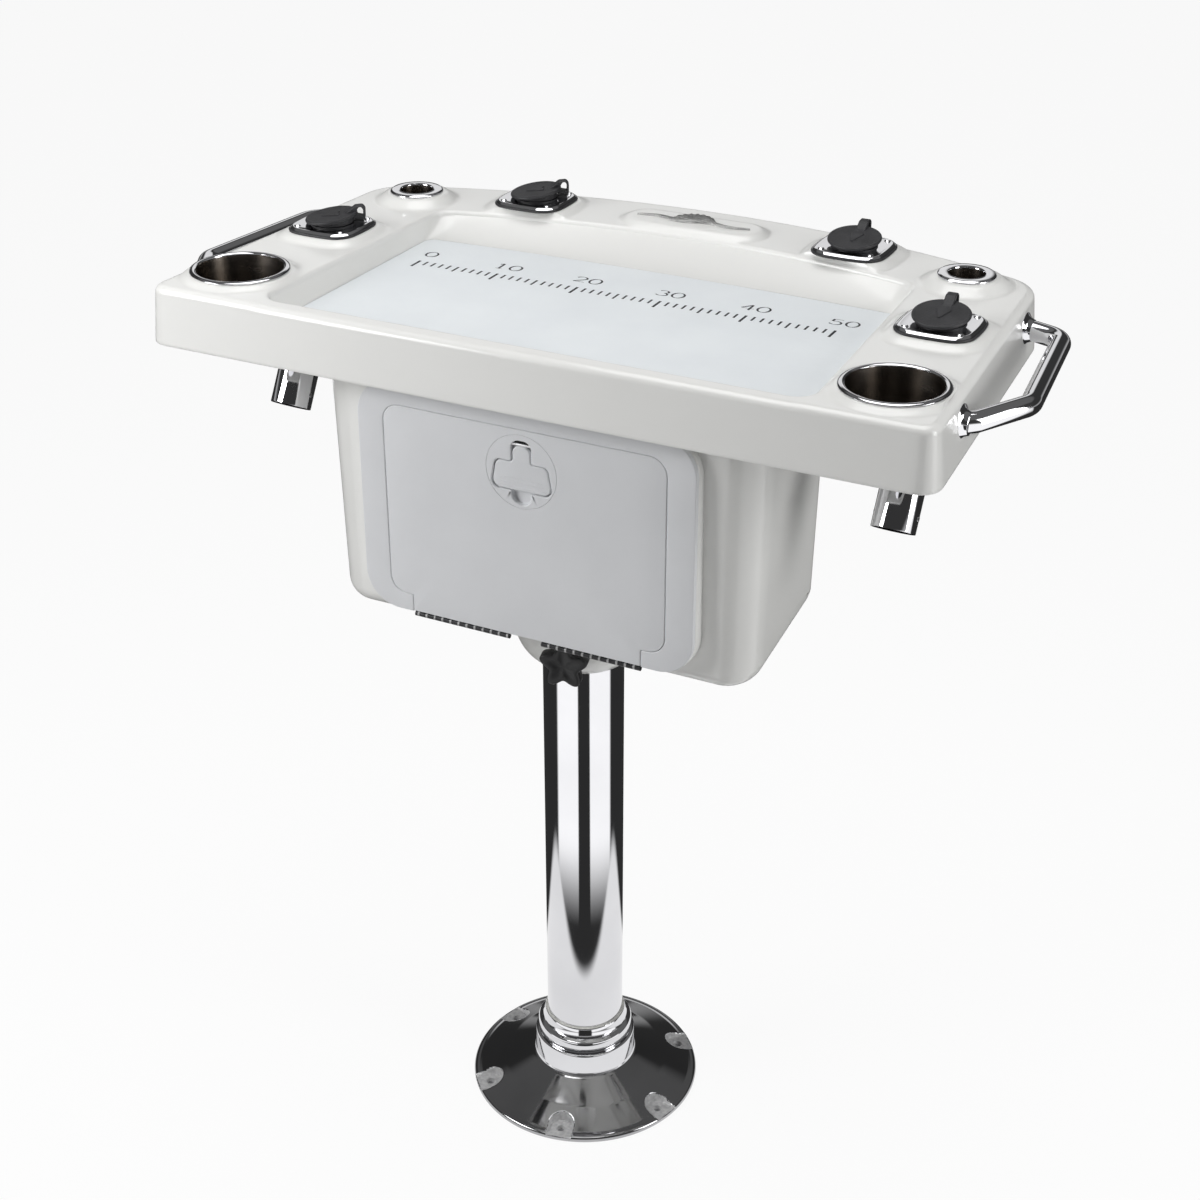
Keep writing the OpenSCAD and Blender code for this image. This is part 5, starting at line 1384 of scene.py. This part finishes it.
# %% Lamps
def rect_lamp(name, place, target, width, height, power):
    """Area lamp at place, turned so that it shines along the line to target."""
    data = bpy.data.lights.new(name, "AREA")
    data.shape = "RECTANGLE"
    data.size = width
    data.size_y = height
    data.energy = power
    lamp = bpy.data.objects.new(name, data)
    lamp.location = place
    d = np.array(target, float) - np.array(place, float)
    yaw = math.atan2(d[0], -d[1])
    pitch = math.atan2(math.hypot(d[0], d[1]), -d[2])
    lamp.rotation_euler = (pitch, 0.0, yaw + math.pi)
    scene.collection.objects.link(lamp)


rect_lamp("top", (0.0, 0.1, 3.3), (0, 0, 0.9), 2.0, 2.0, 35)
rect_lamp("key", (-1.2, -1.15, 1.6), (-0.15, 0, 0.8), 0.8, 0.9, 20)
rect_lamp("side", (2.0, 0.0, 1.35), (0.3, 0.05, 0.9), 0.7, 1.4, 17)
print(len(bpy.data.lights), "lamps")

# %% [markdown]
# ## Two helpers for the room
# Polished metal has no look of its own, only what it mirrors, so photographers surround it with white screens
# and dark gaps. Real planes could stand about the object, but they would also light it and show in side
# views. A shader can give each kind of ray its own surroundings, and that is done for the floor and the sky.

# %% Two helpers for the room
CAMERA_SIDE = math.radians(27.1)


def turned_axes(tree, output):
    """X, Y and Z of a texture coordinate turned so that minus Y points to the camera's side."""
    coord = tree.nodes.new("ShaderNodeTexCoord")
    turn = tree.nodes.new("ShaderNodeMapping")
    turn.inputs["Rotation"].default_value = (0, 0, -CAMERA_SIDE)
    link(tree, coord.outputs[output], turn.inputs["Vector"])
    axes = tree.nodes.new("ShaderNodeSeparateXYZ")
    link(tree, turn.outputs["Vector"], axes.inputs["Vector"])
    return axes.outputs["X"], axes.outputs["Y"], axes.outputs["Z"]


def for_rays(tree, kind, usual, special):
    """Shader that is special for one kind of ray and usual for all others."""
    path = tree.nodes.new("ShaderNodeLightPath")
    mix = tree.nodes.new("ShaderNodeMixShader")
    link(tree, path.outputs[kind], mix.inputs["Fac"])
    link(tree, usual, mix.inputs[1])
    link(tree, special, mix.inputs[2])
    return mix.outputs["Shader"]


print("the room is turned by", round(math.degrees(CAMERA_SIDE), 1), "degrees to face the camera")

# %% [markdown]
# ## Floor
# The floor is one large plane. Light bounces off plain pale paint, and the camera sees the same paint lifted
# to the white of a studio, with the object's shadow kept in it. Adding more light would whiten the floor
# too, but it would bleach the object.

# %% Floor
LIFT = 0.93

floor_mesh = bpy.data.meshes.new("floor")
floor_mesh.from_pydata([(-30, -30, 0), (30, -30, 0), (30, 30, 0), (-30, 30, 0)], [], [(0, 1, 2, 3)])
floor = bpy.data.objects.new("floor", floor_mesh)
scene.collection.objects.link(floor)
floor_mat, floor_tree, paint = new_material("floor")
paint.inputs["Base Color"].default_value = (0.86, 0.86, 0.86, 1)
paint.inputs["Roughness"].default_value = 0.9
floor_mesh.materials.append(floor_mat)
white = floor_tree.nodes.new("ShaderNodeEmission")
lifted = floor_tree.nodes.new("ShaderNodeMixShader")
lifted.inputs["Fac"].default_value = LIFT
link(floor_tree, paint.outputs["BSDF"], lifted.inputs[1])
link(floor_tree, white.outputs["Emission"], lifted.inputs[2])
print("floor lifted by", LIFT, "for the camera")

# %% [markdown]
# ## What metal sees of the floor
# In reflections the floor is dark, with a lit pool about the pedestal and two white screens between 16 and
# 79 degrees either side of the camera's direction. The pool is an ellipse: its place is measured in half
# widths, and the distance in them is 1 at its edge. The screens are soft windows of the angle and of the
# distance. An image of a studio could be mapped instead, but these few numbers are easy to move.

# %% What metal sees of the floor
POOL_HALF_X, POOL_HALF_Y, POOL_LIGHT = 0.56, 0.28, 0.92
SCREEN_LIGHT = 1.2

fx, fy = turned_axes(floor_tree, "Object")[:2]
pool_x = maths(floor_tree, "DIVIDE", fx, POOL_HALF_X)
pool_y = maths(floor_tree, "DIVIDE", fy, POOL_HALF_Y)
pool = change(floor_tree, far_from(floor_tree, pool_x, pool_y), 0.92, 1.08, POOL_LIGHT, 0.03)
behind = maths(floor_tree, "MULTIPLY", fy, -1.0)
angle = maths(floor_tree, "ABSOLUTE", maths(floor_tree, "ARCTAN2", fx, behind))
opens = change(floor_tree, angle, math.radians(14.5), math.radians(18))
closes = change(floor_tree, angle, math.radians(75), math.radians(83), 1.0, 0.0)
outside = change(floor_tree, far_from(floor_tree, fx, fy), 0.36, 0.60, 0.0, SCREEN_LIGHT)
screens = maths(floor_tree, "MULTIPLY", maths(floor_tree, "MULTIPLY", opens, closes), outside)
mirrored = floor_tree.nodes.new("ShaderNodeEmission")
link(floor_tree, maths(floor_tree, "MAXIMUM", pool, screens), mirrored.inputs["Color"])
to_camera = for_rays(floor_tree, "Is Camera Ray", paint.outputs["BSDF"], lifted.outputs["Shader"])
to_metal = for_rays(floor_tree, "Is Glossy Ray", to_camera, mirrored.outputs["Emission"])
link(floor_tree, to_metal, floor_tree.nodes["Material Output"].inputs["Surface"])
print("floor nodes", len(floor_tree.nodes))

# %% [markdown]
# ## Sky
# The sky gives a weak even fill. Reflections see a dark sky with one bright window straight behind the
# object, about 13 to 28 degrees up, and a paler band at the horizon. The camera sees it pale, so that views
# from the side have the same white background.

# %% Sky
FILL, PALE = 0.13, 0.955

world = bpy.data.worlds.new("world")
scene.world = world
world.use_nodes = True
sky_tree = world.node_tree
sky_tree.nodes.clear()


def background(colour, strength=1.0):
    """Background shader of one grey, a number or a socket."""
    node = sky_tree.nodes.new("ShaderNodeBackground")
    node.inputs["Strength"].default_value = strength
    if isinstance(colour, float):
        node.inputs["Color"].default_value = (colour, colour, colour, 1)
    else:
        link(sky_tree, colour, node.inputs["Color"])
    return node.outputs["Background"]


wx, wy, wz = turned_axes(sky_tree, "Generated")
wide = change(sky_tree, maths(sky_tree, "ABSOLUTE", wx), 0.20, 0.30, 1.0, 0.0)
rear_half = change(sky_tree, wy, 0.2, 0.4)
sill = change(sky_tree, wz, 0.19, 0.25)
lintel = change(sky_tree, wz, 0.42, 0.52, 0.85, 0.0)
upright_part = maths(sky_tree, "MULTIPLY", sill, lintel)
window = maths(sky_tree, "MULTIPLY", maths(sky_tree, "MULTIPLY", wide, rear_half), upright_part)
horizon = change(sky_tree, wz, 0.02, 0.16, 0.4, 0.04)
zenith = change(sky_tree, wz, 0.5, 0.66, 0.0, 0.13)
room = maths(sky_tree, "MAXIMUM", window, maths(sky_tree, "MAXIMUM", horizon, zenith))
to_metal = for_rays(sky_tree, "Is Glossy Ray", background(1.0, FILL), background(room))
to_camera = for_rays(sky_tree, "Is Camera Ray", to_metal, background(PALE))
sky_out = sky_tree.nodes.new("ShaderNodeOutputWorld")
link(sky_tree, to_camera, sky_out.inputs["Surface"])
print("sky nodes", len(sky_tree.nodes))
